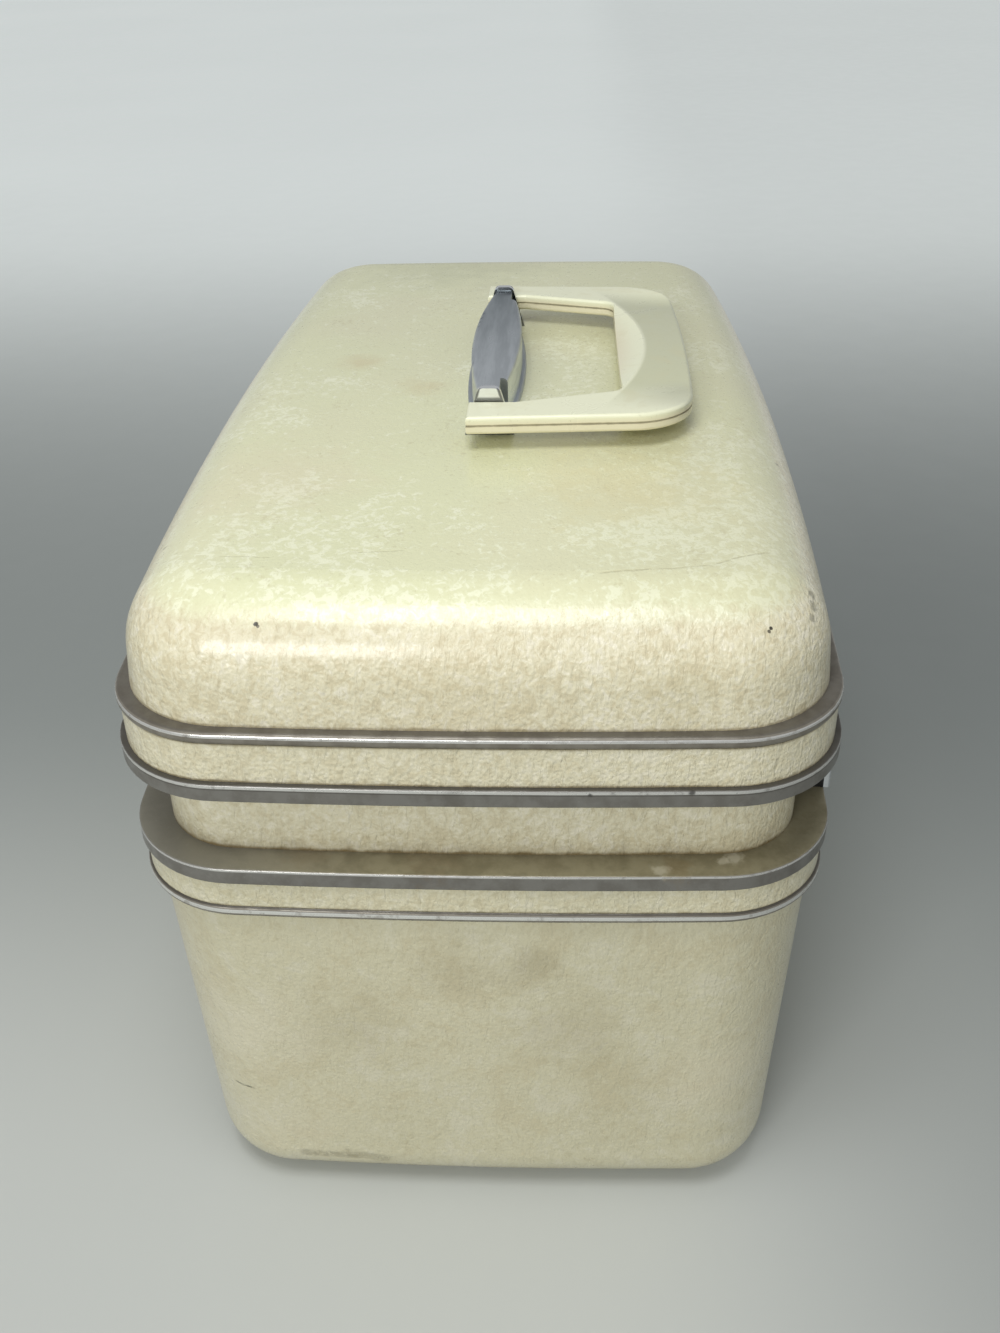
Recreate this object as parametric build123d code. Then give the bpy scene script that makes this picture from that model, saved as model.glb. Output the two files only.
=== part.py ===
from build123d import *
import os
from math import cos, degrees, atan, radians, sin, sqrt, tan

# overall size of the closed case, in mm; x runs along the length, the front is -y, the floor is z = 0
case_length = 400
case_depth = 228
case_height = 238

# plan shape at the widest rim
end_bow = 3
side_bow = 7
corner_radius = 37
shell_corner_extra = 3

# heights of the bands that run round the case, and of the domed part of the lid
lid_dome_height = 36
lower_rim_height = 5.7
lower_band_height = 9.5
lower_bead_height = 3.8
recess_height = 25.5
upper_rim_height = 5.9
upper_band_height = 12.9
upper_bead_height = 4.0

# how far each band stands in from the widest rim
lower_rim_inset = 0.6
lower_band_inset = 1.9
lower_bead_inset = 1.1
body_inset = 4.0
collar_inset = 10.6
upper_band_inset = 1.9
upper_bead_inset = 1.1
lid_inset = 4.8

# sheet and wall thicknesses
shell_wall = 3.0
lining_wall = 1.2
collar_wall = 2.5
rim_sheet = 1.5
rim_flange = 3.6
collar_cap_height = 1.2

# moulded shell form
body_foot_inset = 10.0
body_edge_radius = 19
lid_draft = 5.0
lid_edge_radius = 26
rim_edge_softness = 0.6
tray_edge_radius = 8
mirror_corner_radius = 14

# clearances
lid_seat_gap = 0.3
running_gap = 0.05
side_gap = 0.3
tray_gap = 6.4
tray_lip_gap = 6.0

# carrying handle
handle_reach = 71.5
handle_front_sag = 2.5
handle_arm_width = 15.8
handle_grip_half = 77.5
handle_window_front_half = 54.0
handle_grip_inner = 46.0
handle_thickness = 6.2
handle_lift = 6.1
handle_edge_radius = 1.2
handle_corner_radius = 22
handle_window_radius = 6
handle_straight = 9
handle_tail = 7
handle_seam_depth = 0.5
handle_seam_height = 0.6
thumb_facet_angle = 15
thumb_facet_width = 9.8

# bar that carries the handle
bar_half_length = 62.0
bar_end_width = 8.0
bar_middle_width = 18.6
bar_height = 15.0
bar_edge_radius = 2
bar_foot_margin = 1.6
bar_cheek_width = 3.2
bar_neck_length = 12.5
bar_neck_cut = 3.4
cheek_base_half = 8.6
cheek_top_half = 3.6
cheek_height = 16.7
pivot_pin_radius = 1.6
screw_radius = 1.8
screw_head_radius = 3.0
screw_spacing = 27
backing_margin = 3

# hinges at the back
hinge_end_gap = 90
hinge_width = 36
hinge_knuckle_radius = 4
hinge_pin_radius = 1.6
hinge_axis_inset = 7
hinge_plate = 1.8
rivet_radius = 1.5
rivet_head_radius = 2.6
rivet_head_height = 0.9
rivet_offset = 12
rivet_rise = 5.5

# latches at the front
latch_end_gap = 68
latch_half_width = 22
latch_proud = 1.0
latch_low_height = 11.8
latch_case_front = 1.0
latch_case_wall = 1.2
tower_start = 7.0
hasp_sheet = 1.4
hasp_rise = 1.8
hasp_lug = 6.0
hasp_pin_margin = 1.0
hasp_x0 = -21.0
hasp_x1 = 5.0
hook_x0 = -6.0
hook_x1 = -2.0
hook_rise = 4.8
hook_thickness = 2.0
hook_clearance = 1.3
catch_back = 4.4
hasp_barrel_radius = 1.9
hasp_pin_radius = 0.9
button_x = 12.2
button_rise = 14.3
button_travel = 4.6
button_radius = 3.2
button_cap_radius = 4.6
button_cap_height = 2.1
key_radius = 2.15
key_proud = 0.2
key_seat_depth = 1.5
key_slot_width = 0.8
key_slot_depth = 1.4

# inside fittings
tray_wall = 1.6
tray_depth = 44
tray_top_below_cap = 9.3
tray_draft = 2.0
mirror_length = 236
mirror_width = 120
mirror_thickness = 2.2
pocket_wall = 2.0

# levels and places worked out from the sizes above
upper_bands_height = upper_bead_height + upper_band_height + upper_rim_height
shelf_height = case_height - lid_dome_height - upper_bands_height - recess_height
lower_rim_bottom = shelf_height - lower_rim_height
lower_band_bottom = lower_rim_bottom - lower_band_height
lower_bead_bottom = lower_band_bottom - lower_bead_height
shelf_underside = shelf_height - rim_sheet
upper_rim_bottom = shelf_height + recess_height
upper_rim_top = upper_rim_bottom + upper_rim_height
web_underside = upper_rim_top - rim_sheet
upper_band_top = upper_rim_top + upper_band_height
upper_bead_top = upper_band_top + upper_bead_height
collar_cap_top = web_underside - lid_seat_gap
collar_top = collar_cap_top - collar_cap_height
collar_inner = collar_inset + collar_wall
web_inner = collar_inner + lid_seat_gap
shelf_inner = collar_inner + rim_sheet + lid_seat_gap
tray_inset = shelf_inner + tray_gap
body_draft = degrees(atan((body_foot_inset - body_inset) / lower_bead_bottom))
tray_top = collar_cap_top - tray_top_below_cap
tray_floor = tray_top - tray_depth

latch_spacing = case_length - 2 * latch_end_gap
hinge_spacing = case_length - 2 * hinge_end_gap

hinge_axis_y = case_depth / 2 - hinge_axis_inset
hinge_axis_z = shelf_height + recess_height / 2
handle_axis_z = case_height + handle_lift + handle_thickness / 2
handle_top = case_height + handle_lift + handle_thickness
hasp_axis_y = hasp_barrel_radius - latch_proud
hasp_axis_z = upper_rim_bottom - lid_seat_gap - rim_edge_softness - hasp_barrel_radius
handle_window_half = bar_half_length + bar_cheek_width + side_gap
handle_pivot_half = handle_window_half + handle_arm_width
low_top = shelf_height + latch_low_height
tower_top = upper_rim_bottom - 2.5 * lid_seat_gap
button_z = shelf_height + button_rise
hook_low = shelf_height + hook_rise
hook_high = hook_low + hook_thickness


# plan outline: four gently bowed sides with round corners, a given distance in from the widest rim
def outline(inset, corner_extra=0):
    half_x = case_length / 2 - inset
    half_y = case_depth / 2 - inset
    end_x = half_x - end_bow
    end_y = half_y - side_bow
    front = ThreePointArc((-end_x, -end_y), (0, -half_y), (end_x, -end_y))
    right = ThreePointArc((end_x, -end_y), (half_x, 0), (end_x, end_y))
    back = ThreePointArc((end_x, end_y), (0, half_y), (-end_x, end_y))
    left = ThreePointArc((-end_x, end_y), (-half_x, 0), (-end_x, -end_y))
    face = make_face([front, right, back, left])
    return fillet(face.vertices(), corner_radius - inset + corner_extra)


def prism(face, bottom, top):
    return extrude(Pos(0, 0, bottom) * face, amount=top - bottom)


def box_between(x0, x1, y0, y1, z0, z1):
    middle = Pos((x0 + x1) / 2, (y0 + y1) / 2, (z0 + z1) / 2)
    return middle * Box(x1 - x0, y1 - y0, z1 - z0)


def rod_along_x(x0, x1, y, z, radius):
    return Pos((x0 + x1) / 2, y, z) * Rot(0, 90, 0) * Cylinder(radius, x1 - x0)


def rod_along_y(x, y0, y1, z, radius):
    return Pos(x, (y0 + y1) / 2, z) * Rot(90, 0, 0) * Cylinder(radius, y1 - y0)


def shell_prism(inset, bottom, top):
    return prism(outline(inset, shell_corner_extra), bottom, top)


# a block with softened top and bottom edges, cut from later
def soft_block(inset, bottom, top, softness):
    block = prism(outline(inset), bottom, top)
    faces = block.faces().sort_by(Axis.Z)
    return fillet(faces[0].edges() + faces[-1].edges(), softness)


# a drafted block standing on its wide end, with a rounded far edge
def drafted_block(face, height, draft, edge_radius):
    block = extrude(face, amount=height, taper=draft)
    return fillet(block.faces().sort_by(Axis.Z)[-1].edges(), edge_radius)


# solid form of the lower case, from a floor level up to a top level
def body_form(inset, floor, top, edge_radius):
    height = lower_bead_bottom - floor
    lower = drafted_block(outline(inset, shell_corner_extra), height, body_draft, edge_radius)
    lower = Pos(0, 0, lower_bead_bottom) * mirror(lower, about=Plane.XY)
    return lower + shell_prism(inset, lower_bead_bottom, top)


# solid form of the lid, from the rim up to a ceiling level
def lid_form(inset, bottom, ceiling, edge_radius):
    height = ceiling - upper_bead_top
    upper = drafted_block(outline(inset, shell_corner_extra), height, lid_draft, edge_radius)
    return Pos(0, 0, upper_bead_top) * upper + shell_prism(inset, bottom, upper_bead_top)


def body_space(depth):
    return body_form(body_inset + depth, depth, shelf_underside, body_edge_radius - depth)


def body_shell():
    return body_form(body_inset, 0, shelf_underside, body_edge_radius) - body_space(shell_wall)


def body_lining():
    return body_space(shell_wall) - body_space(shell_wall + lining_wall)


def lower_bead():
    block = soft_block(lower_bead_inset, lower_bead_bottom, lower_band_bottom, lower_bead_height * 0.4)
    return block - shell_prism(body_inset, lower_bead_bottom, lower_band_bottom)


def lower_band():
    block = prism(outline(lower_band_inset), lower_band_bottom, lower_rim_bottom)
    return block - shell_prism(body_inset, lower_band_bottom, lower_rim_bottom)


# the wide flat shelf of the lower rim passes over the shell edge to carry the collar
def lower_rim():
    block = soft_block(lower_rim_inset, lower_rim_bottom, shelf_height, rim_edge_softness)
    block -= shell_prism(body_inset, lower_rim_bottom, shelf_underside)
    return block - prism(outline(shelf_inner), lower_rim_bottom, shelf_height)


def collar_block():
    return prism(outline(collar_inset), shelf_height, collar_top)


def recess_collar():
    return collar_block() - prism(outline(collar_inner), shelf_height, collar_top) - hinge_rivets()


def collar_cap():
    cap = soft_block(collar_inset - side_gap, collar_top, collar_cap_top, rim_edge_softness / 2)
    return cap - prism(outline(collar_inner), collar_top, collar_cap_top)


def base_pad():
    depth = shell_wall + lining_wall
    pad_inset = body_foot_inset + depth + body_edge_radius
    return prism(outline(pad_inset), depth, depth + 2 * lining_wall)


# gathered pocket against the back lining
def back_pocket():
    depth = shell_wall + lining_wall + side_gap
    strip = body_space(depth) - body_space(depth + pocket_wall)
    half = case_length * 0.32
    low = body_edge_radius + depth
    high = tray_floor - 4 * depth
    return strip & box_between(-half, half, case_depth * 0.3, case_depth / 2, low, high)


# four moulded rests that the tray stands on
def tray_rests():
    space = body_space(shell_wall + lining_wall)
    near = case_length * 0.22
    far = case_length * 0.32
    reach = case_depth / 2 - tray_inset - tray_depth * 0.4
    rest_height = 3 * rim_sheet
    rests = []
    for x0, x1 in ((-far, -near), (near, far)):
        for y0, y1 in ((-case_depth / 2, -reach), (reach, case_depth / 2)):
            block = box_between(x0, x1, y0, y1, tray_floor - rest_height, tray_floor)
            rests.append(space & block)
    return rests


def tray_form(depth):
    height = tray_depth - depth
    block = drafted_block(outline(tray_inset + depth), height, tray_draft, tray_edge_radius - depth)
    return Pos(0, 0, tray_top) * mirror(block, about=Plane.XY)


def tray_pan():
    lip = prism(outline(collar_inner + tray_lip_gap), tray_top - tray_wall, tray_top)
    pan = tray_form(0) + lip
    return pan - tray_form(tray_wall)


def tray_inside():
    return tray_form(tray_wall)


def tray_divider_long():
    half = rim_sheet / 2
    low = tray_floor + tray_wall
    wall = box_between(-case_length, case_length, -half, half, low, tray_top - 3 * tray_wall)
    return tray_inside() & wall


def tray_divider_cross(side):
    half = rim_sheet / 2
    x = side * case_length * 0.17
    low = tray_floor + tray_wall
    wall = box_between(x - half, x + half, half, case_depth, low, tray_top - 3 * tray_wall)
    return tray_inside() & wall


def lid_shell():
    outer = lid_form(lid_inset, upper_rim_top, case_height, lid_edge_radius)
    ceiling = case_height - shell_wall
    inner = lid_form(lid_inset + shell_wall, upper_rim_top, ceiling, lid_edge_radius - shell_wall)
    return outer - inner - handle_screw_set()


def lid_lining():
    depth = shell_wall + lining_wall
    outside = case_height - depth
    radius = lid_edge_radius - depth
    skin = lid_form(lid_inset + shell_wall, upper_rim_top, outside, radius)
    return skin - lid_form(lid_inset + depth, upper_rim_top, outside - lining_wall, radius - lining_wall)


def upper_bead():
    block = soft_block(upper_bead_inset, upper_band_top, upper_bead_top, upper_bead_height * 0.4)
    return block - shell_prism(lid_inset, upper_band_top, upper_bead_top)


def upper_band():
    block = prism(outline(upper_band_inset), upper_rim_top, upper_band_top)
    return block - shell_prism(lid_inset, upper_rim_top, upper_band_top)


def upper_rim():
    block = soft_block(0, upper_rim_bottom, upper_rim_top, rim_edge_softness)
    block -= prism(outline(rim_flange), upper_rim_bottom, web_underside)
    return block - prism(outline(web_inner), web_underside, upper_rim_top)


def mirror_ceiling():
    return case_height - shell_wall - 2 * lining_wall


def mirror_glass():
    ceiling = mirror_ceiling()
    plate = RectangleRounded(mirror_length, mirror_width, mirror_corner_radius)
    return prism(plate, ceiling - mirror_thickness, ceiling)


def mirror_frame():
    ceiling = mirror_ceiling()
    border = 2 * mirror_thickness
    corner = mirror_corner_radius
    plate = RectangleRounded(mirror_length + 2 * border, mirror_width + 2 * border, corner + border)
    lip = RectangleRounded(mirror_length - border, mirror_width - border, corner - border / 2)
    frame = prism(plate, ceiling - mirror_thickness - rim_sheet, ceiling)
    frame -= prism(lip, ceiling - mirror_thickness - rim_sheet, ceiling)
    return frame - mirror_glass()


# screws rise through the lid into the bar
def handle_screw_set():
    low = case_height - shell_wall - lining_wall
    high = case_height + bar_height / 2
    screw = prism(Circle(screw_radius), low, high) + prism(Circle(screw_head_radius), low, low + lining_wall)
    set_of_screws = Part()
    for place in (-1.5, -0.5, 0.5, 1.5):
        set_of_screws += Pos(place * screw_spacing, 0, 0) * screw
    return set_of_screws


def handle_backing_plate():
    ceiling = case_height - shell_wall
    width = bar_middle_width + 2 * backing_margin
    plan = RectangleRounded(2 * bar_half_length, width, backing_margin)
    return prism(plan, ceiling - lining_wall, ceiling) - handle_screw_set()


def leaf_plan(margin):
    half_length = bar_half_length
    end = bar_end_width / 2 + margin
    middle = bar_middle_width / 2 + margin
    front = ThreePointArc((-half_length, -end), (0, -middle), (half_length, -end))
    right = Line((half_length, -end), (half_length, end))
    back = ThreePointArc((half_length, end), (0, middle), (-half_length, end))
    left = Line((-half_length, end), (-half_length, -end))
    return make_face([front, right, back, left])


# bell-shaped cheek that stands on the lid at each end of the bar, against a handle arm
def bar_cheek():
    profile = make_face(Polyline(
        (-cheek_base_half, 0), (-cheek_top_half, cheek_height), (cheek_top_half, cheek_height),
        (cheek_base_half, 0), close=True,
    ))
    profile = fillet(profile.vertices().sort_by(Axis.Y)[-2:], cheek_top_half * 0.7)
    return extrude(Plane.YZ * profile, amount=bar_cheek_width)


# leaf-shaped bar with a necked front side near each end and a cheek at each handle arm
def handle_bar():
    bar = prism(leaf_plan(0), case_height, case_height + bar_height)
    bar = fillet(bar.faces().sort_by(Axis.Z)[-1].edges(), bar_edge_radius)
    foot = prism(leaf_plan(bar_foot_margin), case_height, case_height + rim_sheet)
    foot = fillet(foot.faces().sort_by(Axis.Z)[-1].edges(), rim_edge_softness)
    cheek = Pos(bar_half_length, 0, case_height) * bar_cheek()
    for side in (-1, 1):
        neck = box_between(0, bar_neck_length, -bar_middle_width, -bar_neck_cut, 0, bar_height)
        neck = Pos(min(side * bar_half_length, side * (bar_half_length - bar_neck_length)), 0, 0) * neck
        bar -= Pos(0, 0, case_height + 2 * rim_sheet) * neck
    bar += foot + cheek + mirror(cheek, about=Plane.YZ)
    return bar - handle_screw_set() - handle_pin_set(pivot_pin_radius + running_gap)


def handle_pin_set(radius):
    inner = bar_half_length - bar_neck_length / 2
    outer = handle_pivot_half - handle_arm_width / 4
    pins = rod_along_x(inner, outer, 0, handle_axis_z, radius)
    return pins + rod_along_x(-outer, -inner, 0, handle_axis_z, radius)


def handle_plan(margin):
    back = handle_tail - margin
    corner = handle_reach - handle_front_sag - margin
    grip = handle_grip_half - margin
    pivot = handle_pivot_half - margin
    front = ThreePointArc((-grip, -corner), (0, -handle_reach + margin), (grip, -corner))
    right = Line((grip, -corner), (pivot, back))
    rear = Line((pivot, back), (-pivot, back))
    left = Line((-pivot, back), (-grip, -corner))
    loop = make_face([front, right, rear, left])
    loop = fillet(loop.vertices().sort_by(Axis.Y)[:2], handle_corner_radius - margin)
    side = handle_window_half + margin
    near = handle_window_front_half + margin
    deep = handle_grip_inner + margin
    window = make_face(Polyline(
        (-side, 2 * back), (-side, -handle_straight), (-near, -deep),
        (near, -deep), (side, -handle_straight), (side, 2 * back), close=True,
    ))
    window = fillet(window.vertices().sort_by(Axis.Y)[:2], handle_window_radius - margin)
    return loop - window


# thumb facet on the inner edge of the grip: a shallow lens cut by a very large drum
def thumb_facet():
    slope = radians(thumb_facet_angle)
    depth = thumb_facet_width * sin(slope)
    half = handle_window_front_half - 2
    drum_radius = half ** 2 / (2 * depth)
    up = (drum_radius - depth) * cos(slope)
    over = (drum_radius - depth) * sin(slope)
    centre = (0, -handle_grip_inner + over, handle_top + up)
    tilt = Plane(origin=centre, x_dir=(1, 0, 0), z_dir=(0, cos(slope), -sin(slope)))
    drum = tilt * Cylinder(drum_radius, 4 * thumb_facet_width)
    back = handle_grip_inner + 2 * thumb_facet_width
    front = handle_grip_inner - thumb_facet_width / 2
    low = handle_axis_z + side_gap
    return drum & box_between(-half, half, -back, -front, low, low + 2 * handle_thickness)


def handle_form():
    low = case_height + handle_lift
    loop = prism(handle_plan(0), low, handle_top)
    faces = loop.faces().sort_by(Axis.Z)
    loop = fillet(faces[0].edges() + faces[-1].edges(), handle_edge_radius)
    half_seam = handle_seam_height / 2
    ring = handle_plan(0) - handle_plan(handle_seam_depth)
    seam = prism(ring, handle_axis_z - half_seam, handle_axis_z + half_seam)
    return loop - seam - handle_pin_set(pivot_pin_radius)


def level_slab(bottom, top):
    return box_between(-case_length, case_length, -case_depth, case_depth, bottom, top)


def handle_upper_half():
    return (handle_form() & level_slab(handle_axis_z, handle_top + 1)) - thumb_facet()


def handle_lower_half():
    return handle_form() & level_slab(case_height, handle_axis_z)


def hinge_rivet_heads():
    leaf_face = case_depth / 2 - collar_inset + side_gap
    z = shelf_height + rivet_rise
    heads = Part()
    for side in (-1, 1):
        for offset in (-rivet_offset, rivet_offset):
            x = side * hinge_spacing / 2 + offset
            heads += rod_along_y(x, leaf_face, leaf_face + rivet_head_height, z, rivet_head_radius)
    return heads


def hinge_rivets():
    leaf_face = case_depth / 2 - collar_inset + side_gap
    start = case_depth / 2 - collar_inner - side_bow / 2
    rivets = hinge_rivet_heads()
    for side in (-1, 1):
        for offset in (-rivet_offset, rivet_offset):
            x = side * hinge_spacing / 2 + offset
            rivets += rod_along_y(x, start, leaf_face, shelf_height + rivet_rise, rivet_radius)
    return rivets


# fixed leaf: a plate on the collar that carries the two outer knuckles
def hinge_body_leaf(side):
    x0 = side * hinge_spacing / 2 - hinge_width / 2
    x1 = x0 + hinge_width
    knuckle = hinge_width * 0.3
    face = case_depth / 2 - collar_inset
    half = hinge_knuckle_radius
    low = shelf_height + hinge_plate
    plate = box_between(x0, x1, face - side_bow, face + side_gap, low, hinge_axis_z + half)
    for k0, k1 in ((x0, x0 + knuckle), (x1 - knuckle, x1)):
        plate += box_between(k0, k1, face, hinge_axis_y, hinge_axis_z - half / 2, hinge_axis_z + half / 2)
        plate += rod_along_x(k0, k1, hinge_axis_y, hinge_axis_z, half)
    plate -= rod_along_x(x0, x1, hinge_axis_y, hinge_axis_z, hinge_pin_radius)
    plate -= rod_along_x(x0 + knuckle, x1 - knuckle, hinge_axis_y, hinge_axis_z, half + side_gap)
    return plate - collar_block() - hinge_rivets()


# moving leaf: the middle knuckle with a strap up to the web of the lid rim
def hinge_lid_leaf(side):
    x0 = side * hinge_spacing / 2 - hinge_width / 2
    x1 = x0 + hinge_width
    knuckle = hinge_width * 0.3
    k0 = x0 + knuckle + side_gap
    k1 = x1 - knuckle - side_gap
    strap_back = hinge_axis_y - hinge_plate
    strap = box_between(k0, k1, strap_back, strap_back + hinge_plate, hinge_axis_z, web_underside)
    wide = knuckle / 2
    low = web_underside - hinge_plate
    foot = box_between(k0 - wide, k1 + wide, strap_back - hinge_plate, hinge_axis_y, low, web_underside)
    leaf = strap + foot + rod_along_x(k0, k1, hinge_axis_y, hinge_axis_z, hinge_knuckle_radius)
    bore = rod_along_x(k0, k1, hinge_axis_y, hinge_axis_z, hinge_pin_radius + running_gap)
    return leaf - bore


def hinge_pin(side):
    x0 = side * hinge_spacing / 2 - hinge_width / 2
    return rod_along_x(x0, x0 + hinge_width, hinge_axis_y, hinge_axis_z, hinge_pin_radius)


# the latches are drawn in a frame whose origin lies on the rim: x outboard along the rim, y inward
def latch_frame():
    along = case_length / 2 - end_bow
    bow_radius = (along ** 2 + side_bow ** 2) / (2 * side_bow)
    x = latch_spacing / 2
    y = -case_depth / 2 + bow_radius - sqrt(bow_radius ** 2 - x ** 2)
    turn = degrees(atan(x / sqrt(bow_radius ** 2 - x ** 2)))
    return Pos(x, y, 0) * Rot(0, 0, turn)


# black pressed lock case: low behind the hasp, full height at the outboard end
def lock_case():
    half = latch_half_width
    back = collar_inset + 2 * latch_case_wall
    front = latch_case_front
    wall = latch_case_wall
    inner_back = collar_inset - wall
    low = shelf_height
    shape = box_between(-half, half, front, back, low, low_top)
    shape += box_between(tower_start, half, front, back, low, tower_top)
    inside = box_between(-half + wall, half - wall, front + wall, inner_back, low + wall, low_top - wall)
    inside += box_between(tower_start + wall, half - wall, front, inner_back, low + wall, tower_top - wall)
    mouth_low = hook_low - hook_clearance
    mouth = box_between(hook_x0 - 1, hook_x1 + 1, 0, inner_back - wall, mouth_low, low_top + wall)
    return shape - inside - mouth


def lock_plate():
    outside = -latch_proud - 1
    inside = latch_case_front + 1
    half = latch_half_width
    plate = box_between(tower_start, half, -latch_proud, latch_case_front, shelf_height, tower_top)
    plate = fillet(plate.faces().sort_by(Axis.Y)[0].edges(), rim_edge_softness)
    slot_radius = button_radius + side_gap
    far_x = button_x + button_travel
    slot = rod_along_y(button_x, outside, inside, button_z, slot_radius)
    slot += rod_along_y(far_x, outside, inside, button_z, slot_radius)
    slot += box_between(button_x, far_x, outside, inside, button_z - slot_radius, button_z + slot_radius)
    return plate - slot


# sliding button with its foot and bolt behind the plate; the bolt stops just short of the hook
def slide_button():
    cap_back = -latch_proud - side_gap
    cap = rod_along_y(button_x, cap_back - button_cap_height, cap_back, button_z, button_cap_radius)
    cap = fillet(cap.faces().sort_by(Axis.Y)[0].edges(), button_cap_height * 0.4)
    foot_front = latch_case_front + latch_case_wall + side_gap
    shank = rod_along_y(button_x, cap_back, foot_front, button_z, button_radius)
    half = button_radius + side_gap
    foot = box_between(button_x - half, button_x + half, foot_front, catch_back, hook_low, button_z + half)
    bolt = box_between(hook_x1 + side_gap, button_x, foot_front, catch_back, hook_low, hook_high)
    bore_start = cap_back - 2 * button_cap_height
    bore_radius = key_radius + running_gap
    bore = rod_along_y(button_x, bore_start, cap_back + key_seat_depth, button_z, bore_radius)
    return cap + shank + foot + bolt - bore


def key_cylinder():
    cap_back = -latch_proud - side_gap
    front = cap_back - button_cap_height - key_proud
    barrel = rod_along_y(button_x, front, cap_back + key_seat_depth - running_gap, button_z, key_radius)
    half = key_slot_width / 2
    reach = key_radius * 0.7
    slot = box_between(
        button_x - half, button_x + half, front, front + key_slot_depth, button_z - reach, button_z + reach
    )
    return barrel - slot


# chrome hasp: a plate hanging from a barrel, with a hook behind it
def hasp():
    low = shelf_height + hasp_rise
    front = -latch_proud
    back = front + hasp_sheet
    x0 = hasp_x0 + hasp_lug
    x1 = hasp_x1 - hasp_lug
    reach = hasp_barrel_radius * 1.2
    plate = box_between(hasp_x0, hasp_x1, front, back, low, hasp_axis_z)
    plate = fillet(plate.edges().filter_by(Axis.Y).sort_by(Axis.Z)[:2], hasp_barrel_radius)
    for side_x0, side_x1 in ((hasp_x0 - 1, x0), (x1, hasp_x1 + 1)):
        plate -= box_between(side_x0, side_x1, front - 1, back + 1, hasp_axis_z - reach, hasp_axis_z + 1)
    barrel = rod_along_x(x0, x1, hasp_axis_y, hasp_axis_z, hasp_barrel_radius)
    hook = box_between(hook_x0, hook_x1, back, catch_back, hook_low, hook_high)
    shape = plate + barrel + hook
    return shape - rod_along_x(hasp_x0, hasp_x1, hasp_axis_y, hasp_axis_z, hasp_pin_radius + running_gap)


# bracket behind the rim flange: two lugs, a strap and a foot under the web
def hasp_bracket():
    x0 = hasp_x0 + hasp_pin_margin
    x1 = hasp_x1 - hasp_pin_margin
    lug = hasp_lug - side_gap - hasp_pin_margin
    strap_front = rim_flange + side_gap
    strap_back = strap_front + hasp_sheet
    half = hasp_barrel_radius
    reach = half * 0.8
    shape = box_between(x0, x1, strap_front, strap_back, hasp_axis_z - half, web_underside)
    shape += box_between(x0, x1, strap_front, strap_back + half, web_underside - hasp_sheet, web_underside)
    low = hasp_axis_z - reach
    high = hasp_axis_z + reach
    for lug_x in (x0, x1 - lug):
        shape += rod_along_x(lug_x, lug_x + lug, hasp_axis_y, hasp_axis_z, half)
        shape += box_between(lug_x, lug_x + lug, hasp_axis_y, strap_back, low, high)
    return shape - hasp_pin()


def hasp_pin():
    x0 = hasp_x0 + hasp_pin_margin
    x1 = hasp_x1 - hasp_pin_margin
    return rod_along_x(x0, x1, hasp_axis_y, hasp_axis_z, hasp_pin_radius)


def save(name, shape):
    export_step(shape, f"parts/{name}.step")


# solids of a group are kept apart from one another in one file
def save_group(name, shapes):
    solids = []
    for shape in shapes:
        solids.extend(shape.solids())
    export_step(Compound(children=solids), f"parts/{name}.step")


def build_body():
    save("body_shell", body_shell())
    save("body_lining", body_lining())
    save("lower_bead", lower_bead())
    save("lower_band", lower_band())
    save("lower_rim", lower_rim())
    save("recess_collar", recess_collar())
    save("collar_cap", collar_cap())
    save("base_pad", base_pad())
    save("back_pocket", back_pocket())
    save_group("tray_rests", tray_rests())
    save_group("hinge_rivets", [hinge_rivets()])


def build_lid():
    save("lid_shell", lid_shell())
    save("lid_lining", lid_lining())
    save("upper_bead", upper_bead())
    save("upper_band", upper_band())
    save("upper_rim", upper_rim())
    save("mirror_glass", mirror_glass())
    save("mirror_frame", mirror_frame())
    save("handle_bar", handle_bar())
    save_group("handle_screws", [handle_screw_set()])
    save("handle_backing_plate", handle_backing_plate())


def build_handle():
    save("handle_upper_half", handle_upper_half())
    save("handle_lower_half", handle_lower_half())
    save_group("handle_pivot_pins", [handle_pin_set(pivot_pin_radius)])


def build_tray():
    save("tray_pan", tray_pan())
    save("tray_divider_long", tray_divider_long())
    save("tray_divider_left", tray_divider_cross(-1))
    save("tray_divider_right", tray_divider_cross(1))


def build_hinges():
    for name, side in (("left", -1), ("right", 1)):
        save(f"hinge_body_leaf_{name}", hinge_body_leaf(side))
        save(f"hinge_lid_leaf_{name}", hinge_lid_leaf(side))
        save(f"hinge_pin_{name}", hinge_pin(side))


def build_latches():
    frame = latch_frame()
    pieces = {
        "lock_case": frame * lock_case() - collar_block(),
        "lock_plate": frame * lock_plate(),
        "slide_button": frame * slide_button(),
        "key_cylinder": frame * key_cylinder(),
        "hasp": frame * hasp(),
        "hasp_bracket": frame * hasp_bracket(),
        "hasp_pin": frame * hasp_pin(),
    }
    for name, shape in pieces.items():
        save(f"{name}_right", shape)
        save(f"{name}_left", mirror(shape, about=Plane.YZ))


os.makedirs("parts", exist_ok=True)
build_body()
build_lid()
build_handle()
build_tray()
build_hinges()
build_latches()
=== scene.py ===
import math

import bmesh
import bpy
from mathutils import Matrix, Vector, noise


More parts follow.
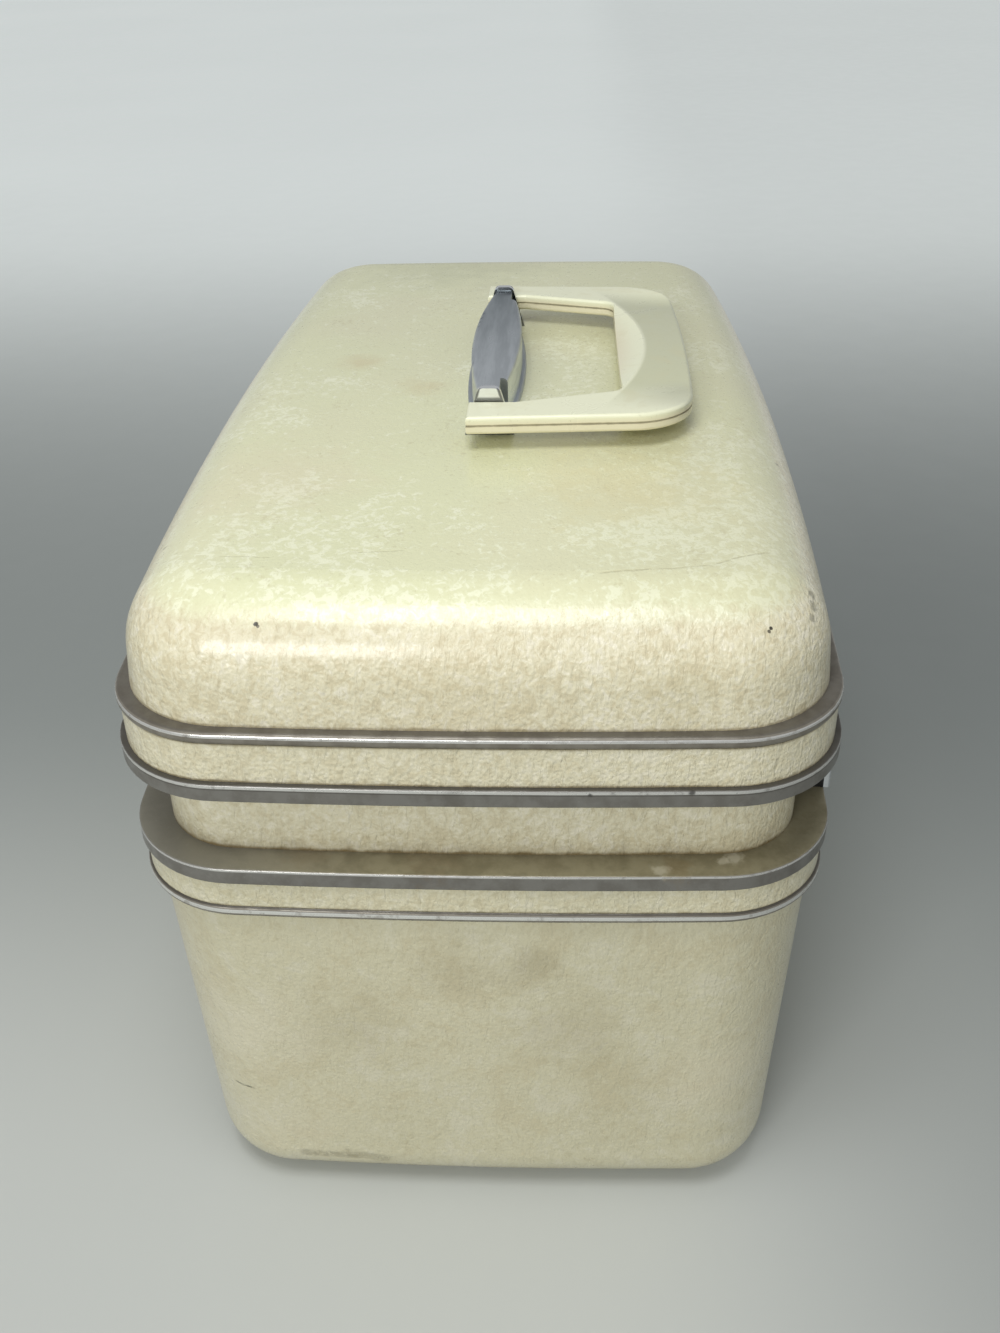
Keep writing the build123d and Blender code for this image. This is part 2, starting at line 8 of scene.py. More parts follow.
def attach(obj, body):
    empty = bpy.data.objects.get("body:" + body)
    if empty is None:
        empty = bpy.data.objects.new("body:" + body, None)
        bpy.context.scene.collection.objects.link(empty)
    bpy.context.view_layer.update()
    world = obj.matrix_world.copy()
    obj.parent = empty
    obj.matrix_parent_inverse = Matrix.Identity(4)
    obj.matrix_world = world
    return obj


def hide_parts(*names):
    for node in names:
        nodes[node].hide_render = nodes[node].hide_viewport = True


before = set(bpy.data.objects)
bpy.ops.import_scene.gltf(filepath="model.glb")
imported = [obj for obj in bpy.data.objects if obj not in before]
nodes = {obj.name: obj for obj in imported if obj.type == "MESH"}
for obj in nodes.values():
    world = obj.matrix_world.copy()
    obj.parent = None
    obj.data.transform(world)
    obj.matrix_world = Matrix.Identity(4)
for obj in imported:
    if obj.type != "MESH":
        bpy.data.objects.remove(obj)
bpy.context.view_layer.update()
# lowest and highest level of every CAD piece, in metres
feet = {name: min(v.co.z for v in node.data.vertices) for name, node in nodes.items()}
tops = {name: max(v.co.z for v in node.data.vertices) for name, node in nodes.items()}
print("frame loaded")

# plan of the case at its widest rim, in metres
plan = {
    "length": 0.4,
    "depth": 0.228,
    "endBow": 0.003,
    "sideBow": 0.007,
    "corner": 0.04,
    "perSide": 60,
    "perCorner": 26,
    "settleSteps": 30,
}


def bowedSides(inset):
    # half sizes, arc radii and arc centres of the four bowed sides at an inset
    halfX = plan["length"] / 2 - inset
    halfY = plan["depth"] / 2 - inset
    endX, endY = halfX - plan["endBow"], halfY - plan["sideBow"]
    sideR = (endX**2 + plan["sideBow"] ** 2) / (2 * plan["sideBow"])
    endR = (endY**2 + plan["endBow"] ** 2) / (2 * plan["endBow"])
    return halfX, halfY, sideR, endR, sideR - halfY, halfX - endR


def arc(centre, radius, start, turn, count):
    # points along an arc, without its last one
    angles = [start + turn * i / count for i in range(count)]
    return [(centre[0] + radius * math.cos(a), centre[1] + radius * math.sin(a)) for a in angles]


def ringRound(inset, level):
    # points round the case at one level, counter-clockwise from the front side
    halfX, halfY, sideR, endR, sideC, endC = bowedSides(inset)
    rounding = plan["corner"] - inset
    x, y = halfX - rounding, rounding - halfY
    # the middle of the corner's arc settles where it touches both sides
    for _ in range(plan["settleSteps"]):
        y = sideC - math.sqrt((sideR - rounding) ** 2 - x**2)
        x = endC + math.sqrt((endR - rounding) ** 2 - y**2)
    sideTurn = math.asin(x / (sideR - rounding))
    endTurn = math.asin(-y / (endR - rounding))
    cornerTurn = math.pi / 2 - sideTurn - endTurn
    half = arc((0, sideC), sideR, -math.pi / 2 - sideTurn, 2 * sideTurn, plan["perSide"])
    half += arc((x, y), rounding, sideTurn - math.pi / 2, cornerTurn, plan["perCorner"])
    half += arc((endC, 0), endR, -endTurn, 2 * endTurn, plan["perSide"])
    half += arc((x, -y), rounding, endTurn, cornerTurn, plan["perCorner"])
    half += [(-px, -py) for px, py in half]
    return [Vector((px, py, level)) for px, py in half]


def skinOf(rows, around=True, closed=False):
    # rows of equal length joined into a skin; around joins each row's ends, closed fills the first and last
    wide = len(rows[0])
    faces = []
    for r in range(len(rows) - 1):
        for i in range(wide if around else wide - 1):
            j = (i + 1) % wide
            faces.append((r * wide + i, r * wide + j, (r + 1) * wide + j, (r + 1) * wide + i))
    if closed:
        last = (len(rows) - 1) * wide
        faces.append(tuple(range(wide - 1, -1, -1)))
        faces.append(tuple(range(last, last + wide)))
    return [p for row in rows for p in row], faces


def tubeAlong(path, radius, sides=8):
    # no part of the path may run along the leaning direction
    leaning = Vector((0, 0.2, 1))
    turns = [2 * math.pi * k / sides for k in range(sides)]
    last = len(path) - 1
    rings = []
    for i, p in enumerate(path):
        along = (path[min(i + 1, last)] - path[max(i - 1, 0)]).normalized()
        side = along.cross(leaning).normalized()
        up = side.cross(along)
        rings.append([p + radius * (math.cos(t) * side + math.sin(t) * up) for t in turns])
    return skinOf(rings, closed=True)


def newPiece(name, verts, faces, body, material):
    mesh = bpy.data.meshes.new(name)
    mesh.from_pydata([tuple(v) for v in verts], [], faces)
    mesh.validate()
    piece = bpy.data.objects.new(name, mesh)
    bpy.context.scene.collection.objects.link(piece)
    bm = bmesh.new()
    bm.from_mesh(mesh)
    bmesh.ops.recalc_face_normals(bm, faces=bm.faces)
    bm.to_mesh(mesh)
    bm.free()
    mesh.shade_smooth()
    mesh.materials.append(material)
    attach(piece, body)
    return piece


def ripple(x, y, z, seed=0):
    # smooth noise from -1 to 1
    return noise.noise(Vector((x, y, z + seed)))


def hexColour(code):
    parts = [int(code[i : i + 2], 16) / 255 for i in (0, 2, 4)]
    linear = [p / 12.92 if p <= 0.04045 else ((p + 0.055) / 1.055) ** 2.4 for p in parts]
    return (*linear, 1.0)


# short names for the shader's sockets
socketNames = {
    "colour": "Base Color",
    "rough": "Roughness",
    "metal": "Metallic",
    "specular": "Specular IOR Level",
    "coat": "Coat Weight",
    "coatRough": "Coat Roughness",
    "sheen": "Sheen Weight",
    "glow": "Emission Strength",
    "normal": "Normal",
}


class Finish:
    # a material with its shader and quick ways to add nodes
    def __init__(self, name):
        self.material = bpy.data.materials.new(name)
        self.material.use_nodes = True
        self.tree = self.material.node_tree
        self.shader = self.tree.nodes["Principled BSDF"]
        self.where = self.add("ShaderNodeTexCoord").outputs["Object"]

    def add(self, kind, **settings):
        node = self.tree.nodes.new(kind)
        for key, value in settings.items():
            setattr(node, key, value)
        return node

    def join(self, source, target):
        self.tree.links.new(source, target)

    def feed(self, socket, value):
        # a number, a colour, a colour's code, or what another node gives
        if isinstance(value, str):
            value = hexColour(value)
        if isinstance(value, (int, float, tuple)):
            socket.default_value = value
        else:
            self.join(value, socket)

    def texture(self, kind, values, where=None, **settings):
        # outputs of a texture or mapping node with its inputs set
        node = self.add(kind, **settings)
        for key, value in values.items():
            node.inputs[key].default_value = value
        self.join(where or self.where, node.inputs["Vector"])
        return node.outputs

    def turned(self, scale, turn=(0, 0, 0)):
        return self.texture("ShaderNodeMapping", {"Scale": scale, "Rotation": turn})["Vector"]

    def noise(self, scale, detail, rough, warp=0.0, where=None):
        values = {"Scale": scale, "Detail": detail, "Roughness": rough, "Distortion": warp}
        return self.texture("ShaderNodeTexNoise", values, where)["Fac"]

    def threads(self, pitch, direction):
        # at scale 1 this texture repeats every 0.314
        values = {"Scale": 0.314 / pitch, "Distortion": 0.25, "Detail Scale": 0.4}
        return self.texture("ShaderNodeTexWave", values, wave_type="BANDS", bands_direction=direction)["Fac"]

    def span(self, value, low, high, outLow=0.0, outHigh=1.0):
        node = self.add("ShaderNodeMapRange", interpolation_type="SMOOTHSTEP")
        self.feed(node.inputs["Value"], value)
        for key, number in (("From Min", low), ("From Max", high), ("To Min", outLow), ("To Max", outHigh)):
            node.inputs[key].default_value = number
        return node.outputs["Result"]

    def fade(self, value, low, high, most=1.0):
        # the most at low, falling to 0 at high
        return self.span(value, low, high, most, 0.0)

    def reckon(self, kind, a, b=0.0):
        node = self.add("ShaderNodeMath", operation=kind)
        self.feed(node.inputs[0], a)
        self.feed(node.inputs[1], b)
        return node.outputs[0]

    def times(self, a, b):
        return self.reckon("MULTIPLY", a, b)

    def plus(self, a, b):
        return self.reckon("ADD", a, b)

    def minus(self, a, b):
        return self.reckon("SUBTRACT", a, b)

    def larger(self, a, b):
        return self.reckon("MAXIMUM", a, b)

    def smaller(self, a, b):
        return self.reckon("MINIMUM", a, b)

    def unsigned(self, a):
        return self.reckon("ABSOLUTE", a)

    def weigh(self, *parts):
        # sum of fields, each taken by its weight
        terms = [self.times(field, weight) for field, weight in parts]
        total = terms.pop()
        while terms:
            total = self.plus(terms.pop(), total)
        return total

    def shift(self, field, reach):
        # noise from 0 to 1 made into a shift either way
        return self.times(self.minus(field, 0.5), reach)

    def mix(self, amount, a, b):
        node = self.add("ShaderNodeMix", data_type="RGBA")
        for index, value in ((0, amount), (6, a), (7, b)):
            self.feed(node.inputs[index], value)
        return node.outputs[2]

    def tint(self, colour, code, field, low, high, most):
        # another colour where a field runs high: none at low, the most of it at high
        return self.mix(self.span(field, low, high, 0.0, most), colour, code)

    def axis(self, letter):
        node = self.add("ShaderNodeSeparateXYZ")
        self.join(self.where, node.inputs[0])
        return node.outputs[letter]

    def band(self, value, low, high, soft):
        # 1 between two levels, 0 outside them
        rise = self.span(value, low - soft, low + soft)
        return self.times(rise, self.fade(value, high - soft, high + soft))

    def near(self, point, size, core, wobble=None, sway=1.6):
        # 1 at a point, fading to 0 at its size
        apart = self.add("ShaderNodeVectorMath", operation="DISTANCE")
        self.join(self.where, apart.inputs[0])
        apart.inputs[1].default_value = point
        away = apart.outputs["Value"]
        if wobble is not None:
            away = self.plus(away, self.shift(wobble, size * sway))
        return self.fade(away, size * core, size)

    def stroke(self, start, end, width, wobble, thin, sway=7, swayMost=0.5, core=0.3, taper=0.7):
        # 1 along the line between two points, 0 away from it; thin is the axis across the line
        along = Vector(end) - Vector(start)
        middle = (Vector(start) + Vector(end)) / 2
        values = {"Location": middle, "Rotation": along.to_track_quat("X", "Z").to_euler()}
        parts = self.add("ShaderNodeSeparateXYZ")
        self.join(self.texture("ShaderNodeMapping", values, vector_type="TEXTURE")["Vector"], parts.inputs[0])
        reach = along.length / 2
        moved = self.shift(wobble, min(width * sway, reach * swayMost))
        across = self.unsigned(self.plus(parts.outputs[thin], moved))
        deep = self.unsigned(parts.outputs["Z" if thin == "Y" else "Y"])
        lengthwise = self.unsigned(parts.outputs["X"])
        line = self.times(self.fade(across, width * core, width), self.fade(deep, 0.003, 0.006))
        return self.times(line, self.fade(lengthwise, reach * taper, reach))

    def bump(self, height, distance, strength, under=None):
        node = self.add("ShaderNodeBump")
        node.inputs["Distance"].default_value = distance
        self.feed(node.inputs["Strength"], strength)
        self.join(height, node.inputs["Height"])
        if under is not None:
            self.join(under, node.inputs["Normal"])
        return node.outputs["Normal"]

    def set(self, **values):
        for key, value in values.items():
            self.feed(self.shader.inputs[socketNames[key]], value)
        return self.material


def dress(material, *nodeNames):
    for nodeName in nodeNames:
        mesh = nodes[nodeName].data
        mesh.materials.clear()
        mesh.materials.append(material)


# marbled vinyl of the shells, bands and collar
vinyl = {
    "paintedCoolTopGround": "dedfb7",
    "topCream": "e3e4c0",
    "topPale": "edeecf",
    "sideGround": "e0d9ba",
    "sidePale": "ece6cf",
    "sideTan": "d1c6a3",
    "freckle": "b5aa82",
    "pit": "9d9069",
    "dust": "a7a482",
    "grime": "75643f",
    "topFrontShade": "b4b08a",
    # noises: scale, detail, roughness, warp
    "ragged": (330, 5, 0.66, 0.7),
    "patches": (42, 6, 0.66, 0.5),
    "clouds": (12, 2, 0.5),
    "crinkles": (250, 4, 0.6, 1.1),
    "waviness": (16, 2, 0.5),
    "pebbles": {"Scale": 800, "Smoothness": 0.5},
    # where a tint begins, where it is full, and how strong it gets
    "tanFlecks": (0.425, 0.51),
    "paleFlecks": (0.52, 0.59),
    "fleckMost": 0.85,
    "creamSpecks": (0.54, 0.57, 0.6),
    "paleSpecks": (0.585, 0.615, 0.88),
    "freckles": (0.56, 0.66, 0.3),
    "pits": (0.68, 0.78, 0.35),
    "groundDrift": (0.4, 0.65, 0.3),
    "crowdMost": 0.072,
    "topEdge": 0.006,
    "topGrain": 0.36,
    "grainDepth": 0.0006,
    "wavinessDepth": 0.004,
    "rough": (0.27, 0.44),
    "coat": 0.48,
    "coatRough": 0.17,
    "smallMark": 0.005,
}


def fleckedSides(f, ragged, patches, clouds, mottle, coarse):
    # frosted flecks of ivory and tan, dense and small
    flecks = f.weigh((ragged, 0.92 - coarse), (patches, coarse), (clouds, 0.08))
    most = vinyl["fleckMost"] * mottle
    colour = f.mix(f.fade(flecks, *vinyl["tanFlecks"], most), vinyl["sideGround"], vinyl["sideTan"])
    return f.tint(colour, vinyl["sidePale"], flecks, *vinyl["paleFlecks"], most)


def speckledTop(f, ragged, patches, clouds, crowds):
    # smooth, with ragged pale specks that crowd together at the front and here and there
    crowd = f.weigh((ragged, 0.66), (patches, 0.24), (clouds, 0.1))
    gathered = f.fade(f.axis("Y"), -0.1, 0.03, 0.008)
    for x, y, size, strength in crowds:
        place = f.near((x, y, tops["lid_shell"]), size, 0.25)
        gathered = f.plus(gathered, f.times(place, strength))
    crowd = f.plus(crowd, f.smaller(gathered, vinyl["crowdMost"]))
    top = f.tint(vinyl["paintedCoolTopGround"], vinyl["sideGround"], clouds, *vinyl["groundDrift"])
    top = f.tint(top, vinyl["topCream"], crowd, *vinyl["creamSpecks"])
    top = f.tint(top, vinyl["topPale"], crowd, *vinyl["paleSpecks"])
    # painted shade: the top darkens towards the front side, away from the lamps
    return f.mix(f.fade(f.axis("Y"), -0.1, -0.01, 0.26), top, vinyl["topFrontShade"])


def grimy(f, colour, grime, high, smear):
    # dirt that has settled along the rims: level, reach and strength
    for level, reach, strength in grime:
        away = f.plus(f.unsigned(f.minus(high, level)), f.shift(smear, reach * 1.8))
        colour = f.mix(f.fade(away, 0.0, reach, strength), colour, vinyl["grime"])
    return colour


def creased(f, colour, strokes, wobble):
    # thin dark lines in the skin, broken up along their length
    creases = None
    sway = f.noise(60, 3, 0.6)
    for start, end, width, strength, code, thin in strokes:
        line = f.times(f.stroke(start, end, width, sway, thin), f.span(wobble, 0.35, 0.55, 0.35, 1.0))
        colour = f.mix(f.times(line, strength), colour, code)
        creases = line if creases is None else f.larger(creases, line)
    return colour, creases


def leatherGrain(f, creases, wrinkle):
    # crinkles with pebbles between them, and the slight waviness of skin over a mould
    crinkles = f.noise(*vinyl["crinkles"], f.turned((1.0, 1.75, 0.6), (0.7, 0.4, 0.6)))
    pebbles = f.texture("ShaderNodeTexVoronoi", vinyl["pebbles"], feature="SMOOTH_F1")["Distance"]
    height = f.weigh((crinkles, 1.5), (pebbles, 0.5))
    if creases is not None:
        height = f.minus(height, f.times(creases, 0.9))
    normal = f.bump(height, vinyl["grainDepth"], wrinkle)
    return f.bump(f.noise(*vinyl["waviness"]), vinyl["wavinessDepth"], 0.22, normal)


def marbledVinyl(name, grime=(), marks=(), strokes=(), crowds=(), mottle=1.0, coarse=0.24,
                 dusty=0.0, topFrom=None, wrinkle=0.75):
    f = Finish(name)
    ragged, patches, clouds = (f.noise(*vinyl[field]) for field in ("ragged", "patches", "clouds"))
    high = f.axis("Z")
    colour = fleckedSides(f, ragged, patches, clouds, mottle, coarse)
    # the lid's top has its own speckled pattern on a greener ground than the warmer sides; that difference in
    # ground is partly painted light, cooler on the top
    if topFrom:
        level = f.plus(high, f.times(ragged, vinyl["topEdge"]))
        onTop = f.span(level, topFrom, topFrom + vinyl["topEdge"])
        colour = f.mix(onTop, colour, speckledTop(f, ragged, patches, clouds, crowds))
        wrinkle = f.span(onTop, 0.0, 1.0, wrinkle, wrinkle * vinyl["topGrain"])
    shade = f.weigh((f.noise(70, 4, 0.6, 0.7), 0.4), (f.noise(420, 3, 0.65), 0.6))
    colour = f.tint(colour, vinyl["freckle"], shade, *vinyl["freckles"])
    colour = f.tint(colour, vinyl["pit"], f.noise(1300, 2, 0.6), *vinyl["pits"])
    if dusty:
        darkened = f.weigh((clouds, 0.5), (patches, 0.5))
        colour = f.mix(f.span(darkened, 0.4, 0.6, dusty - 0.06, dusty + 0.06), colour, vinyl["dust"])
    smear = f.noise(95, 4, 0.65)
    colour = grimy(f, colour, grime, high, smear)
    wobble = f.noise(520, 3, 0.6)
    for point, size, strength, code, core in marks:
        spot = f.near(point, size, core, wobble if size < vinyl["smallMark"] else smear)
        colour = f.mix(f.times(spot, strength), colour, code)
    colour, creases = creased(f, colour, strokes, wobble)
    return f.set(
        colour=colour,
        rough=f.span(f.noise(800, 2, 0.6), 0.3, 0.75, *vinyl["rough"]),
        normal=leatherGrain(f, creases, wrinkle),
        coat=vinyl["coat"],
        coatRough=vinyl["coatRough"],
    )


# places on the lid's top where the pale specks crowd together: x, y, size and strength
lidCrowds = [
    (-0.14, 0.066, 0.024, 0.12), (-0.15, 0.04, 0.024, 0.12), (-0.127, 0.029, 0.018, 0.105),
    (-0.176, 0.045, 0.02, 0.125), (-0.18, 0.022, 0.02, 0.115), (-0.135, 0.004, 0.014, 0.085),
    (-0.166, 0.078, 0.022, 0.11), (-0.175, 0.0, 0.015, 0.095), (-0.11, 0.06, 0.02, 0.08),
    (-0.15, -0.038, 0.022, 0.08), (-0.142, -0.056, 0.024, 0.095), (-0.165, -0.075, 0.028, 0.085),
    (-0.13, -0.082, 0.028, 0.085), (-0.186, -0.046, 0.018, 0.08), (-0.1, -0.068, 0.028, 0.08),
    (-0.07, -0.088, 0.028, 0.08), (0.02, -0.086, 0.032, 0.075), (0.105, 0.08, 0.032, 0.08),
    (0.135, 0.052, 0.026, 0.075), (0.1, -0.08, 0.032, 0.075), (-0.01, 0.085, 0.028, 0.06),
    (0.01, 0.005, 0.024, 0.07), (-0.05, 0.08, 0.024, 0.09), (-0.015, 0.062, 0.02, 0.07),
    (-0.032, -0.026, 0.028, 0.075), (0.026, -0.03, 0.03, 0.07), (-0.002, -0.034, 0.02, 0.06),
]
# chips, scuffs and stains, and a painted shade at the far end of the top: place, size, strength, colour, and
# the share that is full in the middle
lidMarks = [
    ((-0.1856, 0.058, 0.2303), 0.0008, 0.95, "28231a", 0.6),
    ((-0.186, 0.0574, 0.2298), 0.0006, 0.8, "3a3222", 0.6),
    ((-0.1838, -0.0818, 0.2286), 0.0007, 0.95, "2a2418", 0.6),
    ((-0.1844, -0.0814, 0.2281), 0.0007, 0.85, "3a3222", 0.6),
    ((-0.1661, -0.0953, 0.229), 0.0024, 0.65, "77725a", 0.3),
    ((-0.17, -0.0952, 0.2275), 0.0026, 0.6, "827d64", 0.3),
    ((-0.174, -0.095, 0.2262), 0.002, 0.6, "77725a", 0.3),
    ((-0.0778, -0.0977, 0.232), 0.0014, 0.6, "6f6848", 0.4),
    ((-0.1433, 0.0941, 0.2326), 0.0012, 0.55, "8d8560", 0.4),
    ((-0.112, -0.045, 0.238), 0.042, 0.42, "dbd09c", 0.0),
    ((-0.102, 0.07, 0.238), 0.048, 0.3, "e0d3b3", 0.0),
    # painted shade: a large darker, greener patch where less light reaches the far end of the top
    ((0.175, 0.025, 0.238), 0.07, 0.5, "bfc19c", 0.0),
    ((0.015, 0.056, 0.238), 0.012, 0.45, "cfbd90", 0.0),
    ((-0.015, 0.03, 0.238), 0.014, 0.4, "cfbf92", 0.0),
    ((-0.196, 0.088, 0.209), 0.006, 0.4, "b3a880", 0.0),
    ((-0.196, 0.0, 0.21), 0.03, 0.18, "c9b98f", 0.0),
    ((-0.195, -0.056, 0.211), 0.02, 0.22, "b8ad84", 0.0),
]
# crease lines: start, end, width, strength, colour, and the axis across the line
lidStrokes = [
    ((-0.17, -0.0353, 0.238), (-0.1665, -0.0514, 0.238), 0.0006, 0.4, "a79f74", "Y"),
    ((-0.1665, -0.0514, 0.238), (-0.1646, -0.0673, 0.238), 0.0005, 0.35, "a79f74", "Y"),
    ((-0.1646, -0.0673, 0.238), (-0.1539, -0.086, 0.2372), 0.0006, 0.4, "a0986e", "Y"),
    ((-0.1595, 0.0737, 0.238), (-0.16, 0.0568, 0.238), 0.0004, 0.3, "b0a97f", "Y"),
    ((-0.1574, 0.0346, 0.238), (-0.1554, 0.0192, 0.238), 0.0005, 0.3, "a9a47a", "Y"),
]
bodyMarks = [
    ((-0.195, -0.019, 0.116), 0.011, 0.34, "988b64", 0.0),
    ((-0.195, -0.012, 0.11), 0.016, 0.24, "a09470", 0.0),
    ((-0.195, 0.008, 0.112), 0.022, 0.24, "a09470", 0.0),
    ((-0.1945, 0.04, 0.085), 0.028, 0.28, "a3966e", 0.0),
    ((-0.1945, -0.028, 0.085), 0.028, 0.26, "a3966e", 0.0),
    ((-0.1945, -0.05, 0.055), 0.034, 0.2, "aba078", 0.0),
    ((-0.193, -0.078, 0.06), 0.03, 0.45, "d9d2b6", 0.0),
    ((-0.193, 0.078, 0.08), 0.032, 0.45, "dbd4ba", 0.0),
    ((-0.189, 0.068, 0.03), 0.026, 0.35, "d8d1b6", 0.0),
    ((-0.187, 0.083, 0.083), 0.0008, 0.7, "6f684a", 0.5),
    ((-0.193, -0.073, 0.092), 0.0008, 0.7, "6f684a", 0.5),
]
bodyStrokes = [
    ((-0.1852, 0.0871, 0.0485), (-0.1894, 0.0789, 0.0488), 0.0006, 0.85, "6e6a52", "Z"),
    ((-0.189, 0.068, 0.016), (-0.19, 0.043, 0.015), 0.0024, 0.42, "7d7352", "Z"),
    ((-0.189, 0.052, 0.018), (-0.19, 0.033, 0.013), 0.003, 0.36, "857a58", "Z"),
]
vinylPieces = {
    "lid_shell": {
        "name": "lidVinyl",
        "grime": [(tops["upper_bead"] + 0.0001, 0.001, 0.6)],
        "marks": lidMarks,
        "strokes": lidStrokes,
        "crowds": lidCrowds,
        "mottle": 0.9,
        "topFrom": tops["lid_shell"] - 0.0062,
        "wrinkle": 0.62,
    },
    "body_shell": {
        "name": "bodyVinyl",
        "grime": [(feet["lower_bead"] - 0.0001, 0.0012, 0.6), (0.004, 0.009, 0.16)],
        "marks": bodyMarks,
        "strokes": bodyStrokes,
        "mottle": 0.8,
        "coarse": 0.6,
        "dusty": 0.32,
        "wrinkle": 0.55,
    },
    "upper_band": {
        "name": "upperBandVinyl",
        "grime": [(feet["upper_band"] + 0.0001, 0.0008, 0.75), (tops["upper_band"], 0.0007, 0.6)],
        "mottle": 0.7,
        "wrinkle": 0.8,
    },
    "lower_band": {
        "name": "lowerBandVinyl",
        "grime": [(tops["lower_band"], 0.0008, 0.7), (feet["lower_band"], 0.0007, 0.6)],
        "mottle": 0.7,
        "dusty": 0.2,
        "wrinkle": 0.8,
    },
    "recess_collar": {
        "name": "collarVinyl",
        "grime": [(feet["recess_collar"], 0.0016, 0.95), (feet["recess_collar"], 0.006, 0.3)],
        "mottle": 0.8,
    },
}
for nodeName, look in vinylPieces.items():
    dress(marbledVinyl(**look), nodeName)
print("vinyl done")

# satin grey rims and beads with painted highlights along their rounded edges
rimLook = {
    "face": "7b7973",
    "shade": "6f6c65",
    "bead": "878277",
    "beadShade": "777166",
    "shelf": "90896f",
    "shelfShade": "80795f",
    "shelfClean": "7f7d74",
    "stain": "8a806a",
    "speck": "9a9890",
    "paintedHighlight": "e2e1dc",
    "line": "37332b",
    "drift": (0.38, 0.66),
    "rough": (0.32, 0.48),
    "metal": 0.35,
    "highlightMetal": 0.4,
    "highlightSmooth": 0.14,
}


def rimMetal(name, foot, highlightBands, dark, tones=("face", "shade"), marks=(), shelfFrom=None):
    # painted highlight bands and dark lines are given from the piece's foot up: low, high, strength
    f = Finish(name)
    drawn = f.noise(140, 4, 0.6)
    high = f.axis("Z")
    drift = f.span(drawn, *rimLook["drift"])
    colour = f.mix(drift, *(rimLook[tone] for tone in tones))
    if shelfFrom:
        shelf = f.mix(drift, rimLook["shelf"], rimLook["shelfShade"])
        shelf = f.tint(shelf, rimLook["shelfClean"], f.axis("Y"), 0.02, 0.09, 0.75)
        colour = f.mix(f.span(high, foot + shelfFrom, foot + shelfFrom + 0.0002), colour, shelf)
    colour = f.tint(colour, rimLook["stain"], f.noise(34, 5, 0.7), 0.58, 0.75, 0.22)
    colour = f.tint(colour, rimLook["speck"], f.noise(900, 2, 0.6), 0.62, 0.75, 0.2)
    for low, top, strength in dark:
        line = f.band(high, foot + low, foot + top, 0.00012)
        colour = f.mix(f.times(line, strength), colour, rimLook["line"])
    # painted highlights: pale bands along the rounded edges, where the metal is also smoother and more
    # metallic
    paintedHighlight = 0.0
    for low, top, strength in highlightBands:
        edge = f.band(high, foot + low, foot + top, 0.0001)
        paintedHighlight = f.larger(paintedHighlight, f.times(edge, strength))
    paintedHighlight = f.times(paintedHighlight, f.span(f.noise(260, 4, 0.65), 0.32, 0.46, 0.45, 1.0))
    colour = f.mix(paintedHighlight, colour, rimLook["paintedHighlight"])
    wobble = f.noise(320, 3, 0.65)
    for point, size, strength, code in marks:
        colour = f.mix(f.times(f.near(point, size, 0.3, wobble), strength), colour, code)
    return f.set(
        colour=colour,
        rough=f.minus(f.span(drawn, 0.3, 0.7, *rimLook["rough"]), f.times(paintedHighlight, rimLook["highlightSmooth"])),
        metal=f.plus(f.times(paintedHighlight, rimLook["highlightMetal"]), rimLook["metal"]),
        normal=f.bump(f.noise(620, 3, 0.6), 0.00007, 0.4),
    )


# smears on the shelf and nicks in the edges: place, size, strength, colour
shelfMarks = [
    ((-0.1896, -0.0771, 0.1537), 0.0036, 0.75, "c3beaa"),
    ((-0.1912, -0.0735, 0.1537), 0.0024, 0.6, "c8c3af"),
    ((-0.1954, -0.0552, 0.1537), 0.0032, 0.7, "c3beaa"),
    ((-0.1938, -0.06, 0.1537), 0.007, 0.35, "7d6a45"),
    ((-0.1905, 0.012, 0.1537), 0.012, 0.3, "77664a"),
    ((-0.189, 0.05, 0.1537), 0.01, 0.28, "7a6a4c"),
]
rimNicks = [
    ((-0.1999, -0.0336, 0.1838), 0.001, 0.8, "3b3832"),
    ((-0.199, -0.062, 0.1845), 0.0012, 0.8, "2f2c26"),
    ((-0.1999, 0.0045, 0.1822), 0.005, 0.3, "57534a"),
]
beadNicks = [
    ((-0.1994, 0.054, 0.2008), 0.0014, 0.85, "35322b"),
    ((-0.1975, 0.079, 0.2005), 0.001, 0.7, "4a463c"),
]
rimPieces = {
    "upper_rim": {
        "name": "upperRimMetal",
        "highlightBands": [(0.0047, 0.0056, 0.85)],
        "dark": [(0.00575, 0.0064, 0.7), (0.00425, 0.00445, 0.8)],
        "marks": rimNicks,
    },
    "lower_rim": {
        "name": "lowerRimMetal",
        "highlightBands": [(0.00485, 0.00545, 0.85)],
        "dark": [(-0.0001, 0.0004, 0.5)],
        "marks": shelfMarks,
        "shelfFrom": 0.0055,
    },
    "upper_bead": {
        "name": "upperBeadMetal",
        "highlightBands": [(0.00245, 0.0033, 0.95)],
        "dark": [(-0.0001, 0.0005, 0.6), (0.0037, 0.0042, 0.5)],
        "tones": ("bead", "beadShade"),
        "marks": beadNicks,
    },
    "lower_bead": {
        "name": "lowerBeadMetal",
        "highlightBands": [(0.0015, 0.0028, 1.0)],
        "dark": [(-0.0002, 0.0007, 0.9), (0.0032, 0.0039, 0.7)],
        "tones": ("bead", "beadShade"),
    },
}
for nodeName, look in rimPieces.items():
    dress(rimMetal(foot=feet[nodeName], **look), nodeName)
print("rims done")

